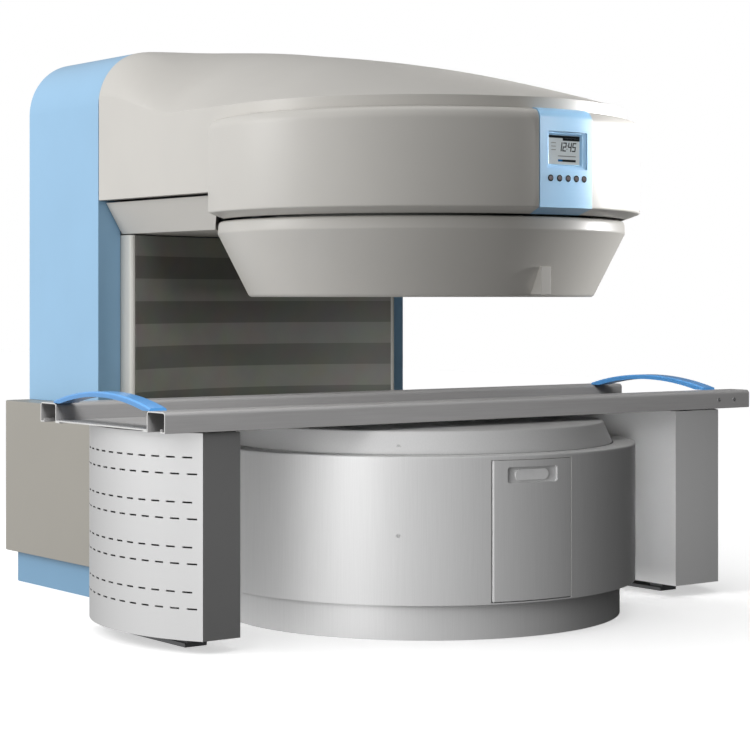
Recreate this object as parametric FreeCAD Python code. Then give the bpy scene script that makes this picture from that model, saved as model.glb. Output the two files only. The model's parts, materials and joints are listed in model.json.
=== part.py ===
import FreeCAD, Part
import math
import os

V = FreeCAD.Vector

# Open C-shaped magnetic resonance scanner with a sliding patient table.
# Millimetres. X runs along the table, Y to the back, Z up. The origin is on the
# floor, on the vertical axis of the two round poles.

# ---- driving dimensions -----------------------------------------------------
COVER = 6.0                 # wall of the moulded covers
SEAM = 4.0                  # gap between neighbouring covers

# upper drum and arm
BAND_R = 720.0              # outside of the band round the upper drum
BAND_BOTTOM_Z = 1303.0
BAND_TOP_Z = 1575.0         # where the band's side starts to round over
BAND_LEDGE_Z = 1605.0
BAND_LIP_R = 668.0          # inner end of the sloping underside
BAND_LIP_DROP = 19.0
ARM_HALF_WIDTH = 674.0      # also the radius of the drum's top step
ARM_BOTTOM_Z = 1369.0
RING_TOP_Z = 1640.0         # edge of the roof round the drum
ROOF_TOP_Z = 1905.0         # middle of the column's roof
ROOF_CORNER_R = 200.0
ROOF_CROWN = 5.5
RAMP_START_Y = 956.0        # the roof is level behind this
RAMP_BLEND_Y = 473.0        # the ramp starts to take on the column's section here
RAMP_POWER = 1.65           # how the ramp's middle line flattens towards the column
RAMP_SIDE_POWER = 2.6       # how it falls away to both sides
SURFACE_DEPTH = 600.0       # solid made under the roof surface before it is cut
SHOULDER_R = 672.0          # upper pole cover
SHOULDER_Z = 1239.0
SHOULDER_HEIGHT = 39.0
POLE_FACE_R = 568.0
GAP_TOP_Z = 1032.0          # underside of the upper pole cover

# column
COLUMN_FRONT_Y = 966.0      # front of the blue rear cover
BACK_Y = 1479.0
FLANGE_WIDTH = 90.0
SOFFIT_TOP_INSET = 29.0
SOFFIT_BOTTOM_INSET = 93.0
SOFFIT_BOTTOM_Z = 1253.0
SOFFIT_TOP_GAP = 8.0
PANEL_HALF_WIDTH = 585.0
PANEL_ARC_R = 1058.0        # hollow front of the striped panel
PANEL_EDGE = 25.0           # width of the rounded upright at each side
FLANGE_LINE = ARM_HALF_WIDTH - FLANGE_WIDTH - 1.5

# lower housing
LOWER_HALF_WIDTH = 787.0
LOWER_TOP_Z = 655.0
LOWER_FRONT_GAP = 9.0       # from the table's rear edge to the housing
LOWER_CORNER_R = 45.0
PLINTH_Z = 112.0
PLINTH_HALF_WIDTH = 758.0
PLINTH_BACK_INSET = 50.0
PLINTH_CORNER_R = 30.0
DRUM_R = 706.0
DRUM_TOP_Z = 557.0
DRUM_EDGE_R = 12.0
DRUM_WALL = 4.0
DRUM_PLINTH_R = 655.0
DISC_BOTTOM_R = 630.0
DISC_TOP_R = 601.0
DISC_TOP_Z = 626.0

# magnet
YOKE_R = 560.0
NECK_HALF_WIDTH = 480.0
YOKE_THICKNESS = 300.0
YOKE_BACK_Y = 1380.0
YOKE_COLUMN_DEPTH = 300.0
LOWER_YOKE_Z = 130.0
UPPER_YOKE_Z = 1290.0
FLOOR_PLATE = 20.0
MAGNET_R = 530.0
SHOE_R = 548.0
COIL_R = 540.0
MAGNET_THICKNESS = 90.0
COIL_CLEARANCE = 3.0        # between the outermost coil and its pole cover
RF_COIL = 12.0
GRADIENT_COIL = 14.0
BOLT_R = 16.0
FOOT_R = 55.0
BOLT_LENGTH = 160.0

# access door in the lower drum
DOOR_ANGLE_FROM = -111.0
DOOR_ANGLE_TO = -87.6
DOOR_THICKNESS = 20.0
DOOR_GAP = 3.0
DOOR_PIN_R = 4.0
RUNNING_CLEARANCE = 0.05
GRIP_WIDTH = 176.0
GRIP_BOTTOM_Z = 473.0
GRIP_TOP_Z = 521.0
GRIP_DEPTH = 13.0
CUP_WIDTH = 118.0
CUP_HEIGHT = 33.0
CUP_RISE = 4.0

# control panel on the upper drum
CONTROL_HALF_ANGLE = 8.45
CONTROL_PROUD = 2.0
CONTROL_THICKNESS = 30.0
DISPLAY_WIDTH = 165.0
DISPLAY_BOTTOM_Z = 1421.0
DISPLAY_TOP_Z = 1534.0
SCREEN_WIDTH = 127.0
SCREEN_HEIGHT = 88.0
SCREEN_SHIFT_X = -4.0
SCREEN_CENTRE_Z = 1479.0
DISPLAY_SINK = 17.0         # depth of the display pocket at its middle
BEZEL_THICKNESS = 9.0
SCREEN_THICKNESS = 3.0
BUTTON_COUNT = 5
BUTTON_PITCH = 34.0
BUTTON_R = 6.4
BUTTON_Z = 1392.0
BUTTON_PROUD = 3.0
BUTTON_TRAVEL = 2.0
BUTTON_CLEARANCE = 0.4
BUTTON_RING_WIDTH = 3.6
BOARD_THICKNESS = 2.4

# positioning light under the control panel
LIGHT_WIDTH = 40.0
LIGHT_BOTTOM_Z = 1040.0
LIGHT_TOP_Z = 1125.0
LIGHT_FRONT_Y = -622.0

# patient table
TABLE_LENGTH = 2390.0
TABLE_CENTRE_X = -18.0
TABLE_WIDTH = 742.0
TABLE_TOP_Z = 706.0
RAIL_HEIGHT = 61.0
RAIL_WIDTH = 100.0
RAIL_WALL = 4.0
RAIL_EDGE_R = 12.0
RAIL_LIP = 20.0
RAIL_LIP_RISE = 8.0
TRAY_THICKNESS = 5.0
TRAY_FLANGE = 22.0
RIB_PITCH = 10.0
RIB_HEIGHT = 2.0
ROLLER_R = 18.0
ROLLER_WIDTH = 24.0
ROLLER_X = 600.0
AXLE_R = 5.0
GUIDE_THICKNESS = 14.0
GUIDE_LENGTH = 2120.0
GUIDE_CLEARANCE = 6.0
TABLE_CLEARANCE = 0.3       # between a roller and the rail that rides on it
HANDLE_STRAP = 58.0
HANDLE_SPAN = 572.0
HANDLE_RISE = 45.0
HANDLE_THICKNESS = 16.0
HANDLE_FOOT = 40.0          # level foot at each end of the strap
HANDLE_TIP = 8.0            # height of the strap's blunt ends
RIGHT_HANDLE_INSET = 85.0
SCREW_PITCH = 76.0
SCREW_R = 5.0
SCREW_HEAD = 2.5

# pedestals
LEFT_PEDESTAL_INNER_X = 933.0
RIGHT_PEDESTAL_INNER_X = 853.0
PEDESTAL_CORNER_X = 1062.0
PEDESTAL_BULGE = 95.0
PEDESTAL_HALF_DEPTH = 332.0
PEDESTAL_BOTTOM_Z = 38.0    # the covers end above the floor
PEDESTAL_TOP_Z = 639.0
GUIDE_FOOT_HALF = 50.0      # half length of a guide rail's foot
PEDESTAL_WALL = 3.0
SLOT_LENGTH = 30.0
SLOT_HEIGHT = 5.0
SLOTS_PER_ROW = 12
SLOT_PITCH = 53.5
SLOT_STAGGER = 14.0
SLOT_ROW_PAIRS = 4
SLOT_FIRST_Z = 130.0
SLOT_PAIR_PITCH = 130.0
SLOT_ROW_GAP = 48.0
POST = 60.0
FRAME_SETBACK = 130.0       # from the ends of the top plate to the floor plate
FRAME_PLATE = 12.0
FRAME_TOP = 30.0

# cable outlet
OUTLET_X = 400.0
OUTLET_Z = 300.0
OUTLET_R = 40.0
OUTLET_WALL = 6.0
OUTLET_FLANGE = 20.0
OUTLET_FLANGE_THICKNESS = 8.0

ROOF_SPARE = 2.0            # the roof surface is made wider than the arm, then cut to it
FAR = 3000.0                # longer than the object, for cutting tools


# ---- shape helpers ----------------------------------------------------------
def save(name, shape):
    """Writes one node."""
    shape.exportStep("parts/" + name + ".step")


def block(x0, x1, y0, y1, z0, z1):
    return Part.makeBox(x1 - x0, y1 - y0, z1 - z0, V(x0, y0, z0))


def rod(radius, start, direction, length):
    return Part.makeCylinder(radius, length, start, direction)


def polygon(points):
    return Part.Face(Part.makePolygon(points + points[:1]))


def face_of(edges):
    return Part.Face(Part.Wire(edges))


def line(a, b):
    return Part.LineSegment(a, b).toShape()


def arc(a, middle, b):
    return Part.Arc(a, middle, b).toShape()


def turned(face, start=0.0, sweep=360.0):
    """Turns a face in the X-Z plane round the pole axis, from the angle start."""
    face = face.copy()
    face.rotate(V(0, 0, 0), V(0, 0, 1), start)
    return face.revolve(V(0, 0, 0), V(0, 0, 1), sweep)


def drum_plan(radius, back_y, z0, z1, half_width=None):
    """Round at the front, straight sides to the back."""
    half_width = radius if half_width is None else half_width
    if half_width < radius:
        tail = block(-half_width, half_width, 0, back_y, z0, z1)
        return rod(radius, V(0, 0, z0), V(0, 0, 1), z1 - z0).fuse(tail).removeSplitter()
    front = [V(-radius, 0, z0), V(0, -radius, z0), V(radius, 0, z0)]
    edges = [arc(*front),
             line(V(radius, 0, z0), V(radius, back_y, z0)),
             line(V(radius, back_y, z0), V(-radius, back_y, z0)),
             line(V(-radius, back_y, z0), V(-radius, 0, z0))]
    return face_of(edges).extrude(V(0, 0, z1 - z0))


def vertical_edges(shape):
    """Straight upright edges of a shape."""
    found = []
    for edge in shape.Edges:
        low, high = edge.BoundBox.ZMin, edge.BoundBox.ZMax
        if edge.BoundBox.XLength + edge.BoundBox.YLength < 0.01 and high - low > 20:
            found.append(edge)
    return found


def rounded_block(x0, x1, y0, y1, z0, z1, radius):
    shape = block(x0, x1, y0, y1, z0, z1)
    return shape.makeFillet(radius, vertical_edges(shape))


# ---- roof -------------------------------------------------------------------
def roof_numbers(inset):
    """Radii and centres of the column's roof section, moved inwards by inset."""
    half = ARM_HALF_WIDTH - inset
    corner = ROOF_CORNER_R - inset
    flat = ARM_HALF_WIDTH - ROOF_CORNER_R
    crown = (flat ** 2 + ROOF_CROWN ** 2) / (2 * ROOF_CROWN)
    crown_z = ROOF_TOP_Z - crown
    corner_z = crown_z + math.sqrt((crown - ROOF_CORNER_R) ** 2 - flat ** 2)
    return half, corner, flat, crown - inset, crown_z, corner_z


def roof_points(inset):
    """Corner, its middle, and where the corner meets the crown, on the +X side."""
    half, corner, flat, crown, crown_z, corner_z = roof_numbers(inset)
    tangent = math.atan2(corner_z - crown_z, flat)
    start = V(half, 0, corner_z)
    middle = V(flat + corner * math.cos(tangent / 2), 0, corner_z + corner * math.sin(tangent / 2))
    end = V(flat + corner * math.cos(tangent), 0, corner_z + corner * math.sin(tangent))
    return start, middle, end, V(0, 0, crown_z + crown)


def mirrored_x(point):
    return V(-point.x, point.y, point.z)


def column_section(inset, bottom_z, y):
    """Upright section of the rear column: straight sides and a rounded roof."""
    start, middle, end, top = roof_points(inset)
    foot = V(start.x, 0, bottom_z)
    edges = [line(mirrored_x(foot), foot),
             line(foot, start),
             arc(start, middle, end),
             arc(end, top, mirrored_x(end)),
             arc(mirrored_x(end), mirrored_x(middle), mirrored_x(start)),
             line(mirrored_x(start), mirrored_x(foot))]
    face = face_of(edges)
    face.translate(V(0, y, 0))
    return face


def column_height(x):
    """Height of the column's roof over the plane x, on its outside."""
    half, corner, flat, crown, crown_z, corner_z = roof_numbers(0)
    end_x = roof_points(0)[2].x
    x = min(abs(x), half)
    if x <= end_x:
        return crown_z + math.sqrt(crown ** 2 - x ** 2)
    return corner_z + math.sqrt(max(corner ** 2 - (x - flat) ** 2, 0.0))


def smooth(value):
    value = min(max(value, 0.0), 1.0)
    return value * value * (3 - 2 * value)


def ramp_middle(y):
    """Height of the ramp's middle line."""
    share = (RAMP_START_Y - y) / (RAMP_START_Y + ARM_HALF_WIDTH)
    return ROOF_TOP_Z - (ROOF_TOP_Z - RING_TOP_Z) * max(share, 0.0) ** RAMP_POWER


def roof_height(x, y):
    """Outside of the arm's roof: a ramp that grows out of the drum's round edge."""
    back = smooth((y - RAMP_BLEND_Y) / (RAMP_START_Y - RAMP_BLEND_Y))
    if y >= 0:
        away = abs(x) / ARM_HALF_WIDTH
        rise = ramp_middle(y) - RING_TOP_Z
    else:
        y = max(y, 3 - ARM_HALF_WIDTH)
        away = math.hypot(x, y) / ARM_HALF_WIDTH
        rise = (ramp_middle(y) - RING_TOP_Z) / (1 - (-y / ARM_HALF_WIDTH) ** RAMP_SIDE_POWER)
    ramp = RING_TOP_Z + rise * (1 - min(away, 1.2) ** RAMP_SIDE_POWER)
    return ramp + (column_height(x) - ramp) * back


def roof_solid(inset, bottom_z, front_y, back_y):
    """Everything under the arm's roof, down to bottom_z."""
    half, corner, flat, crown, crown_z, corner_z = roof_numbers(inset)
    across = [flat * share for share in (0, 0.25, 0.5, 0.75)]
    across += [flat + corner * math.sin(math.radians(a)) for a in (0, 15, 30, 45, 60, 72, 82, 90)]
    across = [-x for x in reversed(across[1:])] + across
    scale = ARM_HALF_WIDTH / half
    spread = (half + ROOF_SPARE) / half
    steps = 30
    rows = []
    for i in range(steps + 1):
        y = front_y + (back_y - front_y) * i / steps
        rows.append([V(x * spread, y, roof_height(x * scale, y) - inset) for x in across])
    surface = Part.BSplineSurface()
    surface.interpolate(rows)
    body = surface.toShape().extrude(V(0, 0, -SURFACE_DEPTH))
    return body.common(block(-FAR, FAR, -FAR, FAR, bottom_z, FAR))


# ---- magnet -----------------------------------------------------------------
UPPER_YOKE_TOP = UPPER_YOKE_Z + YOKE_THICKNESS
LOWER_YOKE_TOP = LOWER_YOKE_Z + YOKE_THICKNESS
LOWER_COIL_TOP = DISC_TOP_Z - COVER - COIL_CLEARANCE
UPPER_COIL_BOTTOM = GAP_TOP_Z + COVER + COIL_CLEARANCE
COLUMN_Y = YOKE_BACK_Y - YOKE_COLUMN_DEPTH / 2
BOLT_PLACES = [(x, COLUMN_Y + dy) for x in (-320.0, 0.0, 320.0) for dy in (-85.0, 85.0)]


def up(radius, x, y, z0, z1):
    return rod(radius, V(x, y, z0), V(0, 0, 1), z1 - z0)


def hexagon_head(x, y, z0, z1):
    width = 1.7 * BOLT_R
    corners = [V(x + width * math.cos(math.radians(60 * i)),
                 y + width * math.sin(math.radians(60 * i)), z0) for i in range(6)]
    return polygon(corners).extrude(V(0, 0, z1 - z0))


def magnet():
    upper = drum_plan(YOKE_R, YOKE_BACK_Y, UPPER_YOKE_Z, UPPER_YOKE_TOP, NECK_HALF_WIDTH)
    lower = drum_plan(YOKE_R, YOKE_BACK_Y, LOWER_YOKE_Z, LOWER_YOKE_TOP, NECK_HALF_WIDTH)
    column = block(-NECK_HALF_WIDTH, NECK_HALF_WIDTH, YOKE_BACK_Y - YOKE_COLUMN_DEPTH, YOKE_BACK_Y,
                   LOWER_YOKE_TOP, UPPER_YOKE_Z)
    bolts = []
    reach = BOLT_LENGTH
    for x, y in BOLT_PLACES:
        hole = up(BOLT_R, x, y, UPPER_YOKE_Z - reach, UPPER_YOKE_TOP)
        upper = upper.cut(hole)
        column = column.cut(hole)
        head = hexagon_head(x, y, UPPER_YOKE_TOP, UPPER_YOKE_TOP + BOLT_R)
        bolts.append(hole.fuse(head).removeSplitter())
    save("upper_yoke", upper)
    save("lower_yoke", lower)
    save("rear_yoke_column", column)
    save("yoke_bolts", Part.makeCompound(bolts))
    plate = drum_plan(YOKE_R, YOKE_BACK_Y, 0, FLOOR_PLATE, NECK_HALF_WIDTH)
    save("floor_plate", plate)
    places = [(0, 0), (0, -420), (-400, -60), (400, -60), (-380, 620), (380, 620),
              (-380, 1280), (380, 1280)]
    feet = [up(FOOT_R, x, y, FLOOR_PLATE, LOWER_YOKE_Z) for x, y in places]
    save("levelling_feet", Part.makeCompound(feet))


def pole(side, start, toward):
    """Magnet disc, pole shoe and coils, stacked from the yoke towards the gap."""
    end = LOWER_COIL_TOP if toward > 0 else UPPER_COIL_BOTTOM
    coil_edge = end - toward * RF_COIL
    gradient_edge = coil_edge - toward * GRADIENT_COIL
    magnet_edge = start + toward * MAGNET_THICKNESS
    levels = [("magnet_disc", MAGNET_R, start, magnet_edge),
              ("pole_shoe", SHOE_R, magnet_edge, gradient_edge),
              ("gradient_coil", COIL_R, gradient_edge, coil_edge),
              ("rf_coil", COIL_R, coil_edge, end)]
    for name, radius, z0, z1 in levels:
        save(side + "_" + name, up(radius, 0, 0, min(z0, z1), max(z0, z1)))


# ---- upper covers -----------------------------------------------------------
def band_face(proud, thickness):
    """Section of the band round the upper drum, in the X-Z plane."""
    outer = BAND_R + proud
    inner = outer - thickness
    edge = ARM_HALF_WIDTH + 2
    lip_z = BAND_BOTTOM_Z - BAND_LIP_DROP
    bend = V(edge + (outer - edge) * 0.72, 0, BAND_TOP_Z + (BAND_LEDGE_Z - BAND_TOP_Z) * 0.75)
    corners = [V(edge, 0, BAND_LEDGE_Z),
               V(edge, 0, BAND_LEDGE_Z - COVER),
               V(inner, 0, BAND_TOP_Z),
               V(inner, 0, BAND_BOTTOM_Z + COVER),
               V(BAND_LIP_R, 0, lip_z + COVER),
               V(BAND_LIP_R, 0, lip_z),
               V(outer, 0, BAND_BOTTOM_Z),
               V(outer, 0, BAND_TOP_Z)]
    edges = [line(a, b) for a, b in zip(corners, corners[1:])]
    edges.append(arc(corners[-1], bend, corners[0]))
    return face_of(edges)


def upper_covers():
    front_y = -ARM_HALF_WIDTH - 30
    back_y = COLUMN_FRONT_Y - SEAM
    outside = roof_solid(0, ARM_BOTTOM_Z, front_y, back_y)
    inside = roof_solid(COVER, ARM_BOTTOM_Z + COVER, front_y, back_y + COVER)
    outside = outside.common(drum_plan(ARM_HALF_WIDTH, back_y, 0, FAR))
    inside = inside.common(drum_plan(ARM_HALF_WIDTH - COVER, back_y + COVER, 0, FAR))
    mouth = drum_plan(ARM_HALF_WIDTH - 80, back_y + COVER, 0, ARM_BOTTOM_Z + 2 * COVER)
    save("arm_cover", outside.cut(inside).cut(mouth))

    # the band runs round the front and dies into the arm's flat sides
    arm = block(-ARM_HALF_WIDTH - 1, ARM_HALF_WIDTH + 1, 0, FAR, 0, FAR)
    gap = math.degrees(SEAM / 2 / BAND_R)
    for name, start in (("left_band_cover", 135.0), ("right_band_cover", -90.0)):
        sweep = 135.0 - CONTROL_HALF_ANGLE - gap
        if start < 0:
            start += CONTROL_HALF_ANGLE + gap
        half = turned(band_face(0, COVER), start, sweep)
        save(name, half.cut(arm))

    # the soffit narrows downwards and ends against the neck of the drum
    neck = up(SHOULDER_R + 2 * SEAM, 0, 0, 0, FAR)
    top_z = ARM_BOTTOM_Z - SOFFIT_TOP_GAP
    wide = ARM_HALF_WIDTH - SOFFIT_TOP_INSET
    narrow = ARM_HALF_WIDTH - SOFFIT_BOTTOM_INSET
    outer = [V(-wide, 0, top_z), V(-narrow, 0, SOFFIT_BOTTOM_Z), V(narrow, 0, SOFFIT_BOTTOM_Z),
             V(wide, 0, top_z)]
    floor_z = SOFFIT_BOTTOM_Z + COVER
    inner = [V(-wide + COVER, 0, top_z + 1), V(-narrow + COVER, 0, floor_z),
             V(narrow - COVER, 0, floor_z), V(wide - COVER, 0, top_z + 1)]
    depth = COLUMN_FRONT_Y - SEAM
    soffit = polygon(outer).extrude(V(0, depth, 0))
    behind = PANEL_ARC_R + COVER + SEAM
    tongue = narrow - 2 * COVER
    soffit = soffit.fuse(block(-tongue, tongue, depth - 10, behind, SOFFIT_BOTTOM_Z, floor_z))
    soffit = soffit.cut(polygon(inner).extrude(V(0, depth + 1, 0)))
    wall_y = SHOULDER_R + 2 * SEAM + COVER
    front = polygon(outer).extrude(V(0, depth, 0)).common(up(wall_y, 0, 0, 0, FAR))
    yoke_way = block(-NECK_HALF_WIDTH - 10, NECK_HALF_WIDTH + 10, 0, COLUMN_Y, UPPER_YOKE_Z - 10, FAR)
    soffit = soffit.fuse(front).cut(neck).cut(yoke_way)
    save("arm_soffit_cover", soffit.removeSplitter())

    # shoulder ring and cone round the upper pole
    shoulder_top = SHOULDER_Z + SHOULDER_HEIGHT
    mouth_r = SHOULDER_R - 40
    outer = [V(mouth_r, 0, shoulder_top), V(SHOULDER_R - 14, 0, shoulder_top)]
    rim = arc(outer[1], V(SHOULDER_R - 4, 0, shoulder_top - 5), V(SHOULDER_R, 0, shoulder_top - 16))
    corners = [V(SHOULDER_R, 0, shoulder_top - 16),
               V(SHOULDER_R, 0, SHOULDER_Z),
               V(POLE_FACE_R + 3, 0, GAP_TOP_Z + 6),
               V(POLE_FACE_R - 5, 0, GAP_TOP_Z),
               V(0, 0, GAP_TOP_Z),
               V(0, 0, GAP_TOP_Z + COVER),
               V(POLE_FACE_R - 8, 0, GAP_TOP_Z + COVER),
               V(SHOULDER_R - COVER, 0, SHOULDER_Z + 2),
               V(SHOULDER_R - COVER, 0, shoulder_top - 18),
               V(mouth_r, 0, shoulder_top - COVER),
               outer[0]]
    edges = [line(*outer), rim] + [line(a, b) for a, b in zip(corners, corners[1:])]
    save("upper_pole_cover", turned(face_of(edges)))


# ---- column and lower covers ------------------------------------------------
def outlet_hole(radius):
    return rod(radius, V(OUTLET_X, BACK_Y - 60, OUTLET_Z), V(0, 1, 0), 120)


def column_covers():
    depth = BACK_Y - COLUMN_FRONT_Y
    shell = column_section(0, LOWER_TOP_Z, COLUMN_FRONT_Y).extrude(V(0, depth, 0))
    inside = column_section(COVER, LOWER_TOP_Z - 1, COLUMN_FRONT_Y + COVER)
    shell = shell.cut(inside.extrude(V(0, depth, 0)))
    reach = ARM_HALF_WIDTH - FLANGE_WIDTH
    doorway = block(-reach, reach, 0, COLUMN_FRONT_Y + 2 * COVER, 0, ARM_BOTTOM_Z)
    throat = column_section(COVER, ARM_BOTTOM_Z, 0).extrude(V(0, COLUMN_FRONT_Y + 2 * COVER, 0))
    save("rear_column_cover", shell.cut(doorway).cut(throat))
    panel = column_section(COVER + SEAM, LOWER_TOP_Z + SEAM, BACK_Y - 2 * COVER)
    save("rear_service_panel", panel.extrude(V(0, COVER, 0)))

    # hollow striped panel, with a rounded upright at each side
    top_z = SOFFIT_BOTTOM_Z - SEAM
    height = top_z - LOWER_TOP_Z
    inner_x = PANEL_HALF_WIDTH - PANEL_EDGE
    front_y = math.sqrt(PANEL_ARC_R ** 2 - inner_x ** 2)
    sheet = up(PANEL_ARC_R + COVER, 0, 0, LOWER_TOP_Z, top_z)
    sheet = sheet.cut(up(PANEL_ARC_R, 0, 0, 0, FAR))
    sheet = sheet.common(block(-inner_x - 1, inner_x + 1, 0, FAR, 0, FAR))
    for side in (-1, 1):
        x0, x1 = sorted((side * inner_x, side * FLANGE_LINE))
        post = block(x0, x1, front_y, COLUMN_FRONT_Y + 30, LOWER_TOP_Z, top_z)
        rounded = [e for e in vertical_edges(post) if e.BoundBox.YMax < front_y + 1]
        sheet = sheet.fuse(post.makeFillet(PANEL_EDGE * 0.44, rounded))
    save("column_front_panel", sheet.removeSplitter())


def lower_covers():
    neck = NECK_HALF_WIDTH + 10
    front_y = TABLE_WIDTH / 2 + LOWER_FRONT_GAP
    # beige housing behind the drum
    outer = rounded_block(-LOWER_HALF_WIDTH, LOWER_HALF_WIDTH, front_y, BACK_Y, PLINTH_Z,
                          LOWER_TOP_Z, LOWER_CORNER_R)
    inner = rounded_block(-LOWER_HALF_WIDTH + COVER, LOWER_HALF_WIDTH - COVER, front_y + COVER,
                          BACK_Y - COVER, PLINTH_Z - 1, LOWER_TOP_Z - COVER, LOWER_CORNER_R - COVER)
    inner = inner.cut(up(DRUM_R + SEAM + COVER, 0, 0, 0, FAR))
    housing = outer.cut(up(DRUM_R + SEAM, 0, 0, 0, FAR)).cut(inner)
    housing = housing.cut(block(-neck, neck, 0, COLUMN_Y, 0, LOWER_YOKE_TOP + 10))
    column_y = YOKE_BACK_Y - YOKE_COLUMN_DEPTH - 10
    housing = housing.cut(block(-neck, neck, column_y, YOKE_BACK_Y + 10, LOWER_YOKE_TOP, FAR))
    hole = outlet_hole(OUTLET_R + OUTLET_WALL)
    save("lower_rear_housing", housing.cut(hole))
    flange = rod(OUTLET_R + OUTLET_FLANGE, V(OUTLET_X, BACK_Y, OUTLET_Z), V(0, 1, 0),
                 OUTLET_FLANGE_THICKNESS)
    tube = rod(OUTLET_R + OUTLET_WALL, V(OUTLET_X, BACK_Y - 40, OUTLET_Z), V(0, 1, 0), 40)
    save("cable_gland", flange.fuse(tube).cut(outlet_hole(OUTLET_R)).removeSplitter())

    # blue plinth under it
    back = BACK_Y - PLINTH_BACK_INSET
    front = front_y + PLINTH_CORNER_R
    top = PLINTH_Z - SEAM
    outer = rounded_block(-PLINTH_HALF_WIDTH, PLINTH_HALF_WIDTH, front, back, 0, top,
                          PLINTH_CORNER_R)
    inner = rounded_block(-PLINTH_HALF_WIDTH + COVER, PLINTH_HALF_WIDTH - COVER, front + COVER,
                          back - COVER, -1, top + 1, PLINTH_CORNER_R - COVER)
    inner = inner.cut(up(DRUM_PLINTH_R + SEAM + COVER, 0, 0, -2, FAR))
    plinth = outer.cut(up(DRUM_PLINTH_R + SEAM, 0, 0, -2, FAR)).cut(inner)
    save("base_plinth", plinth.cut(block(-neck, neck, 0, COLUMN_Y, -1, FAR)))

    # drum plinth and drum
    ring = up(DRUM_PLINTH_R, 0, 0, 0, top).cut(up(DRUM_PLINTH_R - COVER, 0, 0, -1, FAR))
    save("drum_plinth", ring.cut(block(-neck, neck, 0, FAR, -1, FAR)))
    wall = DRUM_WALL
    flange_r = DRUM_R - 30
    start = [V(DISC_BOTTOM_R + SEAM, 0, DRUM_TOP_Z), V(DRUM_R - DRUM_EDGE_R, 0, DRUM_TOP_Z)]
    shift = DRUM_EDGE_R * math.sqrt(0.5)
    bend = V(DRUM_R - DRUM_EDGE_R + shift, 0, DRUM_TOP_Z - DRUM_EDGE_R + shift)
    corners = [V(DRUM_R, 0, DRUM_TOP_Z - DRUM_EDGE_R),
               V(DRUM_R, 0, PLINTH_Z),
               V(flange_r, 0, PLINTH_Z),
               V(flange_r, 0, PLINTH_Z + wall),
               V(DRUM_R - wall, 0, PLINTH_Z + wall),
               V(DRUM_R - wall, 0, DRUM_TOP_Z - DRUM_EDGE_R),
               V(DRUM_R - DRUM_EDGE_R, 0, DRUM_TOP_Z - wall),
               V(DISC_BOTTOM_R + SEAM, 0, DRUM_TOP_Z - wall),
               start[0]]
    edges = [line(*start), arc(start[1], bend, corners[0])]
    edges += [line(a, b) for a, b in zip(corners, corners[1:])]
    drum = turned(face_of(edges)).cut(block(-neck, neck, 0, FAR, 0, LOWER_YOKE_TOP + 10))
    doorway = door_sector(DRUM_R - 2 * wall, DRUM_R + 1, 0, PLINTH_Z + wall, DRUM_TOP_Z - DRUM_EDGE_R)
    pins = door_pins()
    save("lower_drum_cover", drum.cut(doorway).cut(pins))
    save("door_pivot_pins", pins)

    # raised disc over the lower pole
    corners = [V(0, 0, DISC_TOP_Z), V(DISC_TOP_R, 0, DISC_TOP_Z),
               V(DISC_BOTTOM_R, 0, DRUM_TOP_Z), V(DISC_BOTTOM_R - COVER, 0, DRUM_TOP_Z),
               V(DISC_TOP_R - COVER, 0, DISC_TOP_Z - COVER), V(0, 0, DISC_TOP_Z - COVER)]
    save("lower_pole_cover", turned(polygon(corners)))


# ---- access door ------------------------------------------------------------
def door_sector(r0, r1, gap, z0, z1):
    """Part of a ring between the door's two edges, each moved inwards by gap."""
    trim = math.degrees(gap / DRUM_R)
    start = DOOR_ANGLE_FROM + trim
    sweep = DOOR_ANGLE_TO - trim - start
    section = polygon([V(r0, 0, z0), V(r1, 0, z0), V(r1, 0, z1), V(r0, 0, z1)])
    return turned(section, start, sweep)


def door_pivot():
    """The pivot line stands half the leaf's thickness in from its edge and from its face."""
    radius = DRUM_R - DOOR_THICKNESS / 2
    angle = math.radians(DOOR_ANGLE_FROM) + (DOOR_GAP + DOOR_THICKNESS / 2) / radius
    return radius * math.cos(angle), radius * math.sin(angle)


def door_pins():
    x, y = door_pivot()
    low = up(DOOR_PIN_R, x, y, PLINTH_Z, PLINTH_Z + 30)
    high = up(DOOR_PIN_R, x, y, DRUM_TOP_Z - 40, DRUM_TOP_Z - 2)
    return Part.makeCompound([low, high])


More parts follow.
